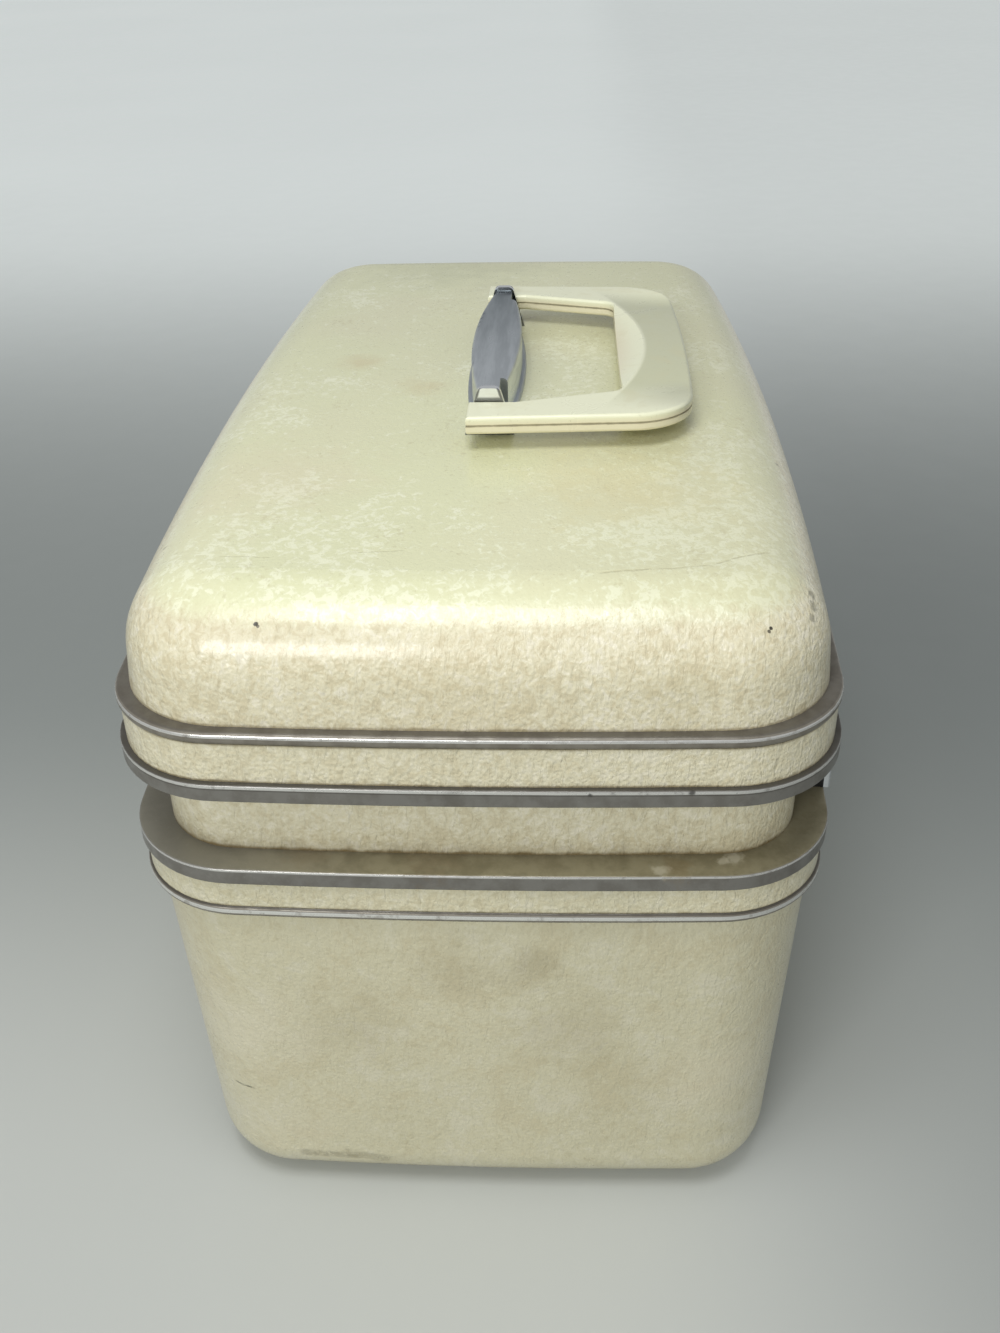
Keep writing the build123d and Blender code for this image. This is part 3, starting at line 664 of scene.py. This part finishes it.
# cream plastic of the handle, with the seam between its halves
handle = {
    "top": "edeecf",
    "side": "e3dcbd",
    "gripOuterShade": "b7b992",
    "smudge": "d3cca4",
    "speck": "9b9068",
    "grit": "77694a",
    "seam": "7d7350",
    "seamLevel": feet["handle_upper_half"],
    "seamReach": (0.0001, 0.0006),
    "seamMost": 0.54,
    "topLevel": tops["handle_upper_half"] - 0.0003,
    "gripInner": 0.046,
    "gripHalf": (0.045, 0.075),
    "gripShadeMost": 0.62,
    "facetWidth": 0.0098,
    "facetHalf": 0.053,
    "facetSoft": 0.0016,
    "outerSlope": 0.22,
    "rough": (0.26, 0.4),
    "coat": 0.35,
    "coatRough": 0.15,
}


def handlePlastic(name):
    f = Finish(name)
    high = f.axis("Z")
    # painted highlight: the upper half pales up towards its top, where it faces the light
    onTop = f.span(high, handle["seamLevel"], handle["topLevel"])
    colour = f.mix(onTop, handle["side"], handle["top"])
    # the grip falls away in front of its bowed thumb facet, and is painted darker there, a painted shade on
    # the slope turned from the light
    along = f.times(f.axis("X"), 1 / handle["facetHalf"])
    bow = f.times(f.minus(1.0, f.times(along, along)), handle["facetWidth"])
    beyond = f.minus(f.minus(f.times(f.axis("Y"), -1.0), handle["gripInner"]), bow)
    outer = f.times(f.span(beyond, 0.0, handle["facetSoft"]), onTop)
    between = f.fade(f.unsigned(f.axis("X")), *handle["gripHalf"])
    darkened = f.times(f.times(outer, between), handle["gripShadeMost"])
    colour = f.mix(darkened, colour, handle["gripOuterShade"])
    soft = f.noise(70, 4, 0.6, 0.5)
    colour = f.tint(colour, handle["smudge"], soft, 0.52, 0.72, 0.28)
    colour = f.tint(colour, handle["speck"], f.noise(330, 4, 0.7), 0.6, 0.76, 0.25)
    colour = f.tint(colour, handle["grit"], f.noise(900, 2, 0.6), 0.7, 0.8, 0.35)
    away = f.unsigned(f.minus(high, handle["seamLevel"]))
    away = f.plus(away, f.shift(f.noise(190, 3, 0.6), 0.0008))
    seam = f.fade(away, *handle["seamReach"], handle["seamMost"])
    colour = f.mix(seam, colour, handle["seam"])
    height = f.plus(f.noise(330, 3, 0.5), f.times(f.noise(1100, 2, 0.5), 0.5))
    slope = f.times(f.times(f.larger(beyond, 0.0), -handle["outerSlope"]), between)
    return f.set(
        colour=colour,
        rough=f.span(soft, 0.3, 0.7, *handle["rough"]),
        coat=handle["coat"],
        coatRough=handle["coatRough"],
        normal=f.bump(slope, 1.0, 1.0, f.bump(height, 0.00012, 0.35)),
    )


dress(handlePlastic("handleCream"), "handle_upper_half", "handle_lower_half")

# satin plate of the bar, polished at its cheeks
bar = {
    "far": "9da6ab",
    "near": "dce2e6",
    "streak": "5b6166",
    "haze": "b9bfc2",
    "halfLength": 0.062,
    "rough": (0.27, 0.38),
    "cheek": "f0f2f4",
    "cheekShade": "3f4143",
    "cheekFrom": 0.0619,
    "cheekFoot": feet["handle_bar"],
    "cheekHalf": 0.0086,
    "cheekLean": 0.3,
    "slopeShade": (-0.0011, -0.0005),
    "footShade": (0.2509, 0.252),
    "outerFace": (0.0018, 0.0023),
    "joint": (-0.0003, 0.0002),
    "shadeMost": 0.8,
    "polish": 0.24,
}


def barPlate(name):
    f = Finish(name)
    brushed = f.noise(240, 3, 0.6, 0, f.turned((0.12, 1.0, 1.0)))
    # painted reflection: the plate is brighter towards its near end and darker towards its far end
    farther = f.span(f.axis("X"), -bar["halfLength"], bar["halfLength"])
    colour = f.mix(farther, bar["near"], bar["far"])
    colour = f.tint(colour, bar["streak"], brushed, 0.35, 0.65, 0.25)
    colour = f.tint(colour, bar["haze"], f.noise(420, 4, 0.7), 0.62, 0.74, 0.4)
    away = f.unsigned(f.axis("X"))
    shine = f.span(away, bar["cheekFrom"] - 0.0001, bar["cheekFrom"] + 0.0001)
    colour = f.mix(shine, colour, bar["cheek"])
    # painted dark reflections darken the cheek along its slopes and low down, and a dark joint line runs
    # where it meets the bar
    beside = f.minus(away, bar["cheekFrom"])
    high = f.axis("Z")
    lean = f.times(f.minus(high, bar["cheekFoot"]), bar["cheekLean"])
    slope = f.minus(f.plus(f.unsigned(f.axis("Y")), lean), bar["cheekHalf"])
    edge = f.larger(f.span(slope, *bar["slopeShade"]), f.fade(high, *bar["footShade"]))
    edge = f.times(edge, f.span(beside, *bar["outerFace"]))
    dark = f.larger(f.band(beside, *bar["joint"], 0.0001), edge)
    colour = f.mix(f.times(dark, bar["shadeMost"]), colour, bar["cheekShade"])
    rough = f.minus(f.span(brushed, 0.3, 0.7, *bar["rough"]), f.times(shine, bar["polish"]))
    return f.set(colour=colour, rough=rough, metal=1.0, normal=f.bump(brushed, 0.00005, 0.25))


# plated metals and black enamel of the latches and hinges: colour and roughness
plate = {
    "latchChrome": ("d9dbde", (0.11, 0.17)),
    "plainSteel": ("b4b4b2", (0.25, 0.35)),
    "keyMetal": ("b5ac98", (0.2, 0.3)),
    "streak": "6a6e72",
    "tarnish": "6b6252",
    "enamel": "1a1a1c",
    "enamelShade": "2b2a2a",
    "enamelWorn": "6f6d68",
    "enamelRough": (0.3, 0.45),
}


def platedMetal(name):
    f = Finish(name)
    code, rough = plate[name]
    brushed = f.noise(220, 3, 0.6, 0, f.turned((0.15, 1.0, 1.0)))
    colour = f.tint(code, plate["streak"], brushed, 0.3, 0.7, 0.2)
    colour = f.tint(colour, plate["tarnish"], f.noise(300, 4, 0.7), 0.64, 0.78, 0.4)
    rough = f.span(brushed, 0.3, 0.7, *rough)
    return f.set(colour=colour, rough=rough, metal=1.0, normal=f.bump(brushed, 0.00005, 0.2))


def blackEnamel(name):
    f = Finish(name)
    peel = f.noise(400, 3, 0.5)
    colour = f.tint(plate["enamel"], plate["enamelShade"], peel, 0.4, 0.7, 1.0)
    colour = f.tint(colour, plate["enamelWorn"], f.noise(700, 4, 0.7), 0.66, 0.76, 0.4)
    rough = f.span(peel, 0.3, 0.7, *plate["enamelRough"])
    return f.set(colour=colour, rough=rough, normal=f.bump(peel, 0.0001, 0.3))


dress(barPlate("barMetal"), "handle_bar")
latchChrome = platedMetal("latchChrome")
plainSteel = platedMetal("plainSteel")
keyMetal = platedMetal("keyMetal")
lockEnamel = blackEnamel("lockEnamel")
for side in ("left", "right"):
    dress(latchChrome, f"lock_plate_{side}", f"hasp_{side}", f"slide_button_{side}")
    dress(plainSteel, f"hinge_body_leaf_{side}", f"hinge_lid_leaf_{side}", f"hinge_pin_{side}")
    dress(plainSteel, f"hasp_bracket_{side}", f"hasp_pin_{side}")
    dress(keyMetal, f"key_cylinder_{side}")
    dress(lockEnamel, f"lock_case_{side}")
dress(plainSteel, "handle_screws", "handle_backing_plate", "handle_pivot_pins", "hinge_rivets", "collar_cap")
print("handle, hinges and latches done")

# cloth, moulded plastic and silvered glass of the inside
inside = {
    "wallCloth": ("d0c198", "c4b48a"),
    "padCloth": ("cbbb90", "bfae82"),
    "pocketCloth": ("c7b68a", "baa87a"),
    "clothGap": "8a7a56",
    "clothSlub": "e6dab6",
    "clothRough": 0.82,
    "clothDepth": 0.00022,
    "trayPlastic": ("d9cfab", "cfc39a"),
    "mirrorSurround": ("d3c8a2", "c6b98f"),
    "scuff": "9a8b63",
    "plasticRough": (0.34, 0.46),
    "silver": "eef0f0",
    "haze": "c9ccc8",
    "glassRough": (0.01, 0.05),
}


def wovenCloth(name, pitch=0.0008, sheen=0.2, gather=0.0):
    # thread pitch and depth of the gathers in metres
    f = Finish(name)
    code, shade = inside[name]
    up = f.threads(pitch, "Z")
    across = f.larger(f.threads(pitch, "X"), f.threads(pitch, "Y"))
    weave = f.weigh((up, 0.5), (across, 0.5))
    slub = f.noise(520, 3, 0.7, 0, f.turned((1.0, 1.0, 0.12)))
    colour = f.tint(code, shade, f.noise(10, 3, 0.5), 0.38, 0.68, 1.0)
    colour = f.mix(f.fade(weave, 0.15, 0.75, 0.1), colour, inside["clothGap"])
    colour = f.tint(colour, inside["clothSlub"], slub, 0.55, 0.75, 0.24)
    normal = f.bump(f.weigh((weave, 0.8), (slub, 0.5)), inside["clothDepth"], 0.35)
    if gather:
        folds = f.noise(95, 2, 0.5, 0, f.turned((1.0, 1.0, 0.1)))
        normal = f.bump(folds, gather, 0.5, normal)
    return f.set(colour=colour, rough=inside["clothRough"], sheen=sheen, normal=normal)


def mouldedCream(name):
    f = Finish(name)
    code, shade = inside[name]
    soft = f.noise(25, 3, 0.5)
    colour = f.tint(code, shade, soft, 0.35, 0.7, 1.0)
    colour = f.tint(colour, inside["scuff"], f.noise(260, 4, 0.7), 0.62, 0.76, 0.2)
    rough = f.span(soft, 0.3, 0.7, *inside["plasticRough"])
    return f.set(colour=colour, rough=rough, normal=f.bump(f.noise(700, 2, 0.5), 0.00008, 0.3))


def silveredGlass(name):
    f = Finish(name)
    haze = f.noise(40, 4, 0.6)
    colour = f.tint(inside["silver"], inside["haze"], haze, 0.6, 0.8, 0.15)
    return f.set(colour=colour, rough=f.span(haze, 0.3, 0.8, *inside["glassRough"]), metal=1.0)


wallCloth = wovenCloth("wallCloth", gather=0.0004)
padCloth = wovenCloth("padCloth", 0.001)
pocketCloth = wovenCloth("pocketCloth", sheen=0.3)
trayPlastic = mouldedCream("trayPlastic")
dress(trayPlastic, "tray_pan", "tray_divider_long", "tray_divider_left", "tray_divider_right", "tray_rests")
dress(mouldedCream("mirrorSurround"), "mirror_frame")
dress(silveredGlass("mirrorSilver"), "mirror_glass")
print("inside finishes done")

# cloth glued over the inner walls and floor of the lower case
bodyCloth = {
    "rise": -1,  # runs down from the opening to the floor
    "openLevel": tops["body_shell"] - 0.0004,
    "beadLevel": feet["lower_bead"],
    "flatLevel": 0.0038,
    "inset": 0.0078,
    "lean": 0.0445,
    "thick": 0.0007,
    "edgeRadius": 0.015,
    "edgeLoss": 0,
    "wallRings": 33,
    "edgeRings": 8,
    "flatRings": (0.985, 0.95, 0.85),
    "pucker": 0.00055,
    "puckerShare": lambda level: min(1.0, max(0.0, (level - 0.01) / 0.03)),  # none on the floor
}
# waves in glued cloth: how close across and up, their share, and where in the noise they start
puckerWaves = [(26, 14, 0.55, 0), (90, 16, 0.45, 7)]


def wallInset(level, cloth):
    # how far in the cloth stands at a level, on the straight part of the wall
    beyond = max(0.0, cloth["rise"] * (level - cloth["beadLevel"]))
    return cloth["inset"] + beyond * cloth["lean"]


def clothRings(cloth, deeper):
    # from the opening along the wall, round the edge and over the floor or ceiling
    rise, opening = cloth["rise"], cloth["openLevel"]
    radius = cloth["edgeRadius"] - cloth["edgeLoss"] * deeper
    flat = cloth["flatLevel"] - rise * deeper
    edge = flat - rise * radius
    rings = []
    for i in range(cloth["wallRings"] + 1):
        level = opening + (edge - opening) * i / cloth["wallRings"]
        rings.append(ringRound(wallInset(level, cloth) + deeper, level))
    for i in range(1, cloth["edgeRings"] + 1):
        t = math.pi / 2 * i / cloth["edgeRings"]
        inset = wallInset(edge, cloth) + deeper + radius * (1 - math.cos(t))
        rings.append(ringRound(inset, edge + rise * radius * math.sin(t)))
    last = rings[-1]
    for scale in cloth["flatRings"]:
        rings.append([Vector((p.x * scale, p.y * scale, flat)) for p in last])
    return rings


def pucker(rings, cloth, inward=0.2):
    # soft irregular waves about a depth that the cloth stands in by all over
    for ring in rings:
        for p in ring:
            out = Vector((p.x / (plan["length"] / 2), p.y / (plan["depth"] / 2), 0)).normalized()
            depth = inward
            for wide, tall, share, seed in puckerWaves:
                depth += share * ripple(p.x * wide, p.y * wide, p.z * tall, seed)
            p -= out * cloth["pucker"] * depth * cloth["puckerShare"](p.z)


def padCeiling(rings, cloth):
    # soft fullness between the mirror's frame and the wall
    halfX, halfY = cloth["mirrorHalf"]
    wideX, wideY = cloth["puffWidth"]
    for ring in rings:
        for p in ring:
            out = max((abs(p.x) - halfX) / wideX, (abs(p.y) - halfY) / wideY)
            rise = math.sin(math.pi * min(1.0, max(0.0, out)))
            fold = 1 + cloth["puffFold"] * ripple(p.x * 60, p.y * 60, 3)
            if p.z > cloth["flatLevel"] - cloth["puffDepth"]:
                p.z -= cloth["puff"] * rise * fold


def makeLining(name, body, cloth):
    # a plain skin against the shell, joined to one that is padded and puckered
    outer = clothRings(cloth, 0.0)
    inner = clothRings(cloth, cloth["thick"])
    if "puff" in cloth:
        padCeiling(inner, cloth)
    pucker(inner, cloth)
    verts, faces = skinOf(outer[::-1] + inner, closed=True)
    return newPiece(name, verts, faces, body, wallCloth)


bodyLining = makeLining("bodyLining", "case_body", bodyCloth)
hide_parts("body_lining")
print("body lining done")

# cloth inside the lid, drawn smooth over the walls and softly padded round the mirror
lidCloth = {
    "rise": 1,  # runs up from the opening to the ceiling
    "openLevel": feet["lid_shell"] + 0.0002,
    "beadLevel": tops["upper_bead"],
    "flatLevel": 0.233,
    "inset": 0.0086,
    "lean": 0.0875,
    "thick": 0.0007,
    "edgeRadius": 0.021,
    "edgeLoss": 1,
    "wallRings": 9,
    "edgeRings": 12,
    "flatRings": [1 - 0.4 * i / 12 for i in range(1, 13)],
    "pucker": 0.0005,
    "puckerShare": lambda level: 1.0 if level < 0.222 else 0.2,
    # fullness beyond the mirror: where it starts, how wide it is, how deep
    "mirrorHalf": (0.122, 0.064),
    "puffWidth": (0.045, 0.025),
    "puff": 0.0016,
    "puffFold": 0.35,
    "puffDepth": 0.012,
}
lidLining = makeLining("lidLining", "lid", lidCloth)
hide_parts("lid_lining")
print("lid lining done")

# quilted pad on the floor of the case
pad = {
    "halfX": 0.1662,
    "halfY": 0.0802,
    "low": 0.0043,
    "high": 0.0062,
    "corner": 0.006,
    "step": 0.004,
    "quilt": 0.04,
    "stitchShare": 0.45,
    "stitchRise": 0.0012,
    "mostRise": 0.003,
    "pressure": 3.0,
    "mass": 0.2,
    "stiffness": 10,
    "quality": 5,
    "frames": 20,
}


def padPoint(u, v, level):
    # the pad's plan follows the bowed sides of the case
    x = u * (pad["halfX"] - plan["endBow"] * v * v)
    y = v * (pad["halfY"] - plan["sideBow"] * u * u)
    overX = max(0.0, abs(x) - (pad["halfX"] - plan["endBow"] - pad["corner"]))
    overY = max(0.0, abs(y) - (pad["halfY"] - plan["sideBow"] - pad["corner"]))
    over = math.hypot(overX, overY)
    if over > pad["corner"]:
        keep = pad["corner"] / over
        x = math.copysign(abs(x) - overX * (1 - keep), x)
        y = math.copysign(abs(y) - overY * (1 - keep), y)
    return Vector((x, y, level))


def onStitch(p):
    # the stitching runs in diamonds
    a = (p.x + p.y) / pad["quilt"]
    b = (p.x - p.y) / pad["quilt"]
    nearLine = min(abs(a - round(a)), abs(b - round(b))) * pad["quilt"]
    return nearLine < pad["step"] * pad["stitchShare"]


def padMesh():
    # two layers of cloth joined round the edge, and which of their points don't move
    countX = 2 * round(pad["halfX"] / pad["step"])
    countY = 2 * round(pad["halfY"] / pad["step"])
    verts, pinned, faces = [], [], []
    for level in (pad["low"], pad["high"]):
        for j in range(countY + 1):
            for i in range(countX + 1):
                p = padPoint(2 * i / countX - 1, 2 * j / countY - 1, level)
                stitched = onStitch(p) and 0 < i < countX and 0 < j < countY
                if stitched and level == pad["high"]:
                    p.z = pad["low"] + pad["stitchRise"]
                verts.append(p)
                pinned.append(stitched or level == pad["low"])
    wide = countX + 1
    layer = wide * (countY + 1)
    for j in range(countY):
        for i in range(countX):
            a = j * wide + i
            faces.append((a, a + wide, a + wide + 1, a + 1))
            faces.append((layer + a, layer + a + 1, layer + a + wide + 1, layer + a + wide))
    rim = list(range(wide)) + [j * wide + countX for j in range(1, countY + 1)]
    rim += [countY * wide + i for i in range(countX - 1, -1, -1)]
    rim += [j * wide for j in range(countY - 1, 0, -1)]
    for k, a in enumerate(rim):
        b = rim[(k + 1) % len(rim)]
        faces.append((a, b, layer + b, layer + a))
    return verts, faces, pinned


def puffPad(piece, pinned):
    # air pressure swells the cloth between its stitches, then the shape is kept
    held = piece.vertex_groups.new(name="stitches")
    held.add([i for i, pin in enumerate(pinned) if pin], 1.0, "REPLACE")
    cloth = piece.modifiers.new("puff", "CLOTH")
    settings = cloth.settings
    settings.quality = pad["quality"]
    settings.mass = pad["mass"]
    settings.tension_stiffness = settings.compression_stiffness = pad["stiffness"]
    settings.use_pressure = True
    settings.uniform_pressure_force = pad["pressure"]
    settings.effector_weights.gravity = 0
    settings.vertex_group_mass = "stitches"
    cloth.point_cache.frame_start = 1
    cloth.point_cache.frame_end = pad["frames"]
    start = [v.co.copy() for v in piece.data.vertices]
    for step in range(1, pad["frames"] + 1):
        bpy.context.scene.frame_set(step)
    swollen = piece.evaluated_get(bpy.context.evaluated_depsgraph_get()).to_mesh()
    moves = [v.co - p for v, p in zip(swollen.vertices, start)]
    piece.modifiers.remove(cloth)
    for v, p, move in zip(piece.data.vertices, start, moves):
        if move.length > pad["mostRise"]:
            move = move * (pad["mostRise"] / move.length)
        v.co = p + move
        v.co.z = max(v.co.z, pad["low"])
    bpy.context.scene.frame_set(1)


def makeBasePad():
    verts, faces, pinned = padMesh()
    piece = newPiece("basePad", verts, faces, "case_body", padCloth)
    puffPad(piece, pinned)
    smoother = piece.modifiers.new("smoother", "SUBSURF")
    smoother.levels = smoother.render_levels = 1
    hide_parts("base_pad")


makeBasePad()
print("base pad done")

# gathered pocket on the back wall, drawn in at the top by a ruched elastic
pocket = {
    "halfLength": 0.126,
    "low": 0.025,
    "high": 0.11,
    "band": 0.012,
    "hemTurn": 0.006,
    "belly": 0.0062,
    "bellyReach": 1.12,
    "mouth": 0.003,
    "seamShare": 0.1,
    "hemShare": 0.12,
    "gather": 0.0011,
    "gatherPitch": 0.0078,
    "gatherLeast": 0.15,
    "ruche": 0.0006,
    "ruchePitch": 0.0036,
    "waver": 0.004,
    "topWave": 0.0006,
    "thick": 0.0006,
    "wallGap": 0.0006,
    "standOff": 0.0004,
    "binding": 0.0011,
    "bindingOut": 0.0004,
    "across": 420,
    "upward": 44,
}


def backWall(x, level, deeper):
    # where the cloth of the back wall stands, at a place along it
    _, halfY, sideR, *_ = bowedSides(wallInset(level, bodyCloth) + deeper)
    return math.sqrt(sideR**2 - x**2) - sideR + halfY


def pocketPoint(along, upTo):
    # along runs from -1 to 1 across the pocket, upTo from 0 at its foot to 1 at its mouth
    tall = pocket["high"] - pocket["low"]
    level = pocket["low"] + tall * upTo
    bandFrom = 1 - pocket["band"] / tall
    x = along * pocket["halfLength"]
    # it is sewn down at its sides and foot, and stands off the wall between them
    seam = min(1.0, (1 - abs(along)) / pocket["seamShare"])
    hem = min(1.0, upTo / pocket["hemShare"])
    free = math.sin(seam * math.pi / 2) * math.sin(hem * math.pi / 2)
    belly = pocket["belly"] * math.sin(math.pi * min(1.0, upTo / pocket["bellyReach"])) ** 0.8
    stand = (belly + pocket["mouth"] * upTo**2) * free
    # gathers fan out downward from the elastic, which is ruched more finely
    waver = x + pocket["waver"] * ripple(x * 12, level * 20, 1)
    gather = math.sin(2 * math.pi * waver / pocket["gatherPitch"] + 2.2 * ripple(x * 30, level * 8, 2))
    least = pocket["gatherLeast"]
    gather *= pocket["gather"] * free * (least + (1 - least) * min(1.0, upTo / bandFrom) ** 1.5)
    if upTo > bandFrom:
        fine = math.sin(2 * math.pi * x / pocket["ruchePitch"] + 1.5 * ripple(x * 60, 4, 5))
        gather = 0.35 * gather + pocket["ruche"] * free * fine
    y = backWall(x, level, pocket["wallGap"]) - stand - gather - pocket["standOff"]
    return Vector((x, y, level + pocket["topWave"] * ripple(x * 70, 9, 3) * upTo))


def makePocket():
    across, upward = pocket["across"], pocket["upward"]
    rows = []
    for j in range(upward + 1):
        rows.append([pocketPoint(2 * i / across - 1, j / upward) for i in range(across + 1)])
    verts, faces = skinOf(rows, around=False)
    piece = newPiece("backPocket", verts, faces, "case_body", pocketCloth)
    cloth = piece.modifiers.new("clothThickness", "SOLIDIFY")
    cloth.thickness = pocket["thick"]
    cloth.offset = 0.0
    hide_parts("back_pocket")
    # a thin binding runs down one side, along the foot and up the other side
    edge = [row[0] for row in rows[::-1]] + rows[0][1:-1:3] + [row[-1] for row in rows]
    edge = [p - Vector((0, pocket["bindingOut"], 0)) for p in edge]
    verts, faces = tubeAlong(edge, pocket["binding"])
    binding = newPiece("pocketBinding", verts, faces, "case_body", pocketCloth)


makePocket()
print("pocket done")

# floor, lamps and camera
stage = {
    "floorReach": 6.0,
    "floorNear": "c6c9c4",
    "floorMiddleShade": "999e9b",
    "floorFar": "c9cecc",
    "floorRightShadow": "7f8482",
    "floorCloud": "8f9492",
    # distances from the case's middle, in metres
    "nearToMiddle": (-0.2, 0.15),
    "middleToFar": (0.45, 1.8),
    "glowFrom": (0.15, 1.3),
    "rightSide": (-0.26, -0.03, 0.6, 0.0),
    "rightFades": (0.3, 1.6, 1.0, 0.5),
    "farGlow": 0.6,
    "worldColour": (0.96, 0.98, 1.0, 1.0),
    "worldStrength": 0.44,
}
lamps = {
    "overhead": {"spot": (-0.4, 0.09, 1.02), "target": (-0.1, 0, 0.15), "size": (0.36, 0.36), "energy": 3.5},
    "front": {"spot": (-1.22, 0.42, 0.8), "target": (0, 0, 0.1), "size": (0.5, 0.3), "energy": 6.4},
}
# worked out from the case's outline in the photograph, which is 1000 by 1333
cameraView = {
    "place": (-0.4912, -0.026, 0.4032),
    "down": 0.546,
    "turn": 0.057,
    "roll": -0.024,
    "focal": 1298.2,
    "pictureHeight": 1333,
    "sensor": 36,
    "clip": (0.01, 50),
}


def makeFloor():
    reach = stage["floorReach"]
    mesh = bpy.data.meshes.new("floor")
    corners = [(-reach, -reach, 0), (reach, -reach, 0), (reach, reach, 0), (-reach, reach, 0)]
    mesh.from_pydata(corners, [], [(0, 1, 2, 3)])
    floor = bpy.data.objects.new("floor", mesh)
    bpy.context.scene.collection.objects.link(floor)
    f = Finish("floorPaper")
    away = f.axis("X")
    # painted shade: the floor darkens into the middle distance, where less light reaches, and a painted
    # shadow darkens its right side (-Y), away from the lamps
    colour = f.mix(f.span(away, *stage["nearToMiddle"]), stage["floorNear"], stage["floorMiddleShade"])
    colour = f.mix(f.span(away, *stage["middleToFar"]), colour, stage["floorFar"])
    right = f.times(f.span(f.axis("Y"), *stage["rightSide"]), f.span(away, *stage["rightFades"]))
    colour = f.mix(right, colour, stage["floorRightShadow"])
    colour = f.tint(colour, stage["floorCloud"], f.noise(1.6, 2, 0.5), 0.3, 0.7, 0.08)
    rough = f.span(f.noise(30, 3, 0.5), 0.3, 0.7, 0.55, 0.65)
    # the far backdrop is pale, and lights nothing
    rays = f.add("ShaderNodeLightPath").outputs
    seen = f.larger(rays["Is Camera Ray"], f.larger(rays["Is Glossy Ray"], rays["Is Transmission Ray"]))
    f.feed(f.shader.inputs["Emission Color"], stage["floorFar"])
    glow = f.times(f.span(away, *stage["glowFrom"], 0.0, stage["farGlow"]), seen)
    mesh.materials.append(f.set(colour=colour, rough=rough, specular=0.25, glow=glow))


def makeWorld():
    world = bpy.data.worlds.new("studio")
    bpy.context.scene.world = world
    world.use_nodes = True
    back = world.node_tree.nodes["Background"]
    back.inputs["Color"].default_value = stage["worldColour"]
    back.inputs["Strength"].default_value = stage["worldStrength"]


def makeLamp(name, spot, target, size, energy):
    light = bpy.data.lights.new(name, "AREA")
    light.shape = "RECTANGLE"
    light.size, light.size_y = size
    light.energy = energy
    lamp = bpy.data.objects.new(name, light)
    lamp.location = spot
    lamp.rotation_euler = (Vector(target) - Vector(spot)).to_track_quat("-Z", "Y").to_euler()
    bpy.context.scene.collection.objects.link(lamp)


def makeCamera(view):
    downCos, downSin = math.cos(view["down"]), math.sin(view["down"])
    turnCos, turnSin = math.cos(view["turn"]), math.sin(view["turn"])
    rollCos, rollSin = math.cos(view["roll"]), math.sin(view["roll"])
    forward = Vector((downCos * turnCos, downCos * turnSin, -downSin))
    level = Vector((turnSin, -turnCos, 0))
    up = level.cross(forward)
    right = rollCos * level + rollSin * up
    top = -rollSin * level + rollCos * up
    data = bpy.data.cameras.new("camera")
    data.sensor_width = view["sensor"]
    data.lens = view["sensor"] * view["focal"] / view["pictureHeight"]
    data.clip_start, data.clip_end = view["clip"]
    camera = bpy.data.objects.new("camera", data)
    turn = Matrix((right, top, -forward)).transposed()
    camera.matrix_world = Matrix.Translation(view["place"]) @ turn.to_4x4()
    bpy.context.scene.collection.objects.link(camera)
    bpy.context.scene.camera = camera


makeFloor()
makeWorld()
for name, lamp in lamps.items():
    makeLamp(name, **lamp)
makeCamera(cameraView)
bpy.context.scene.view_settings.view_transform = "Standard"

print("scene done")
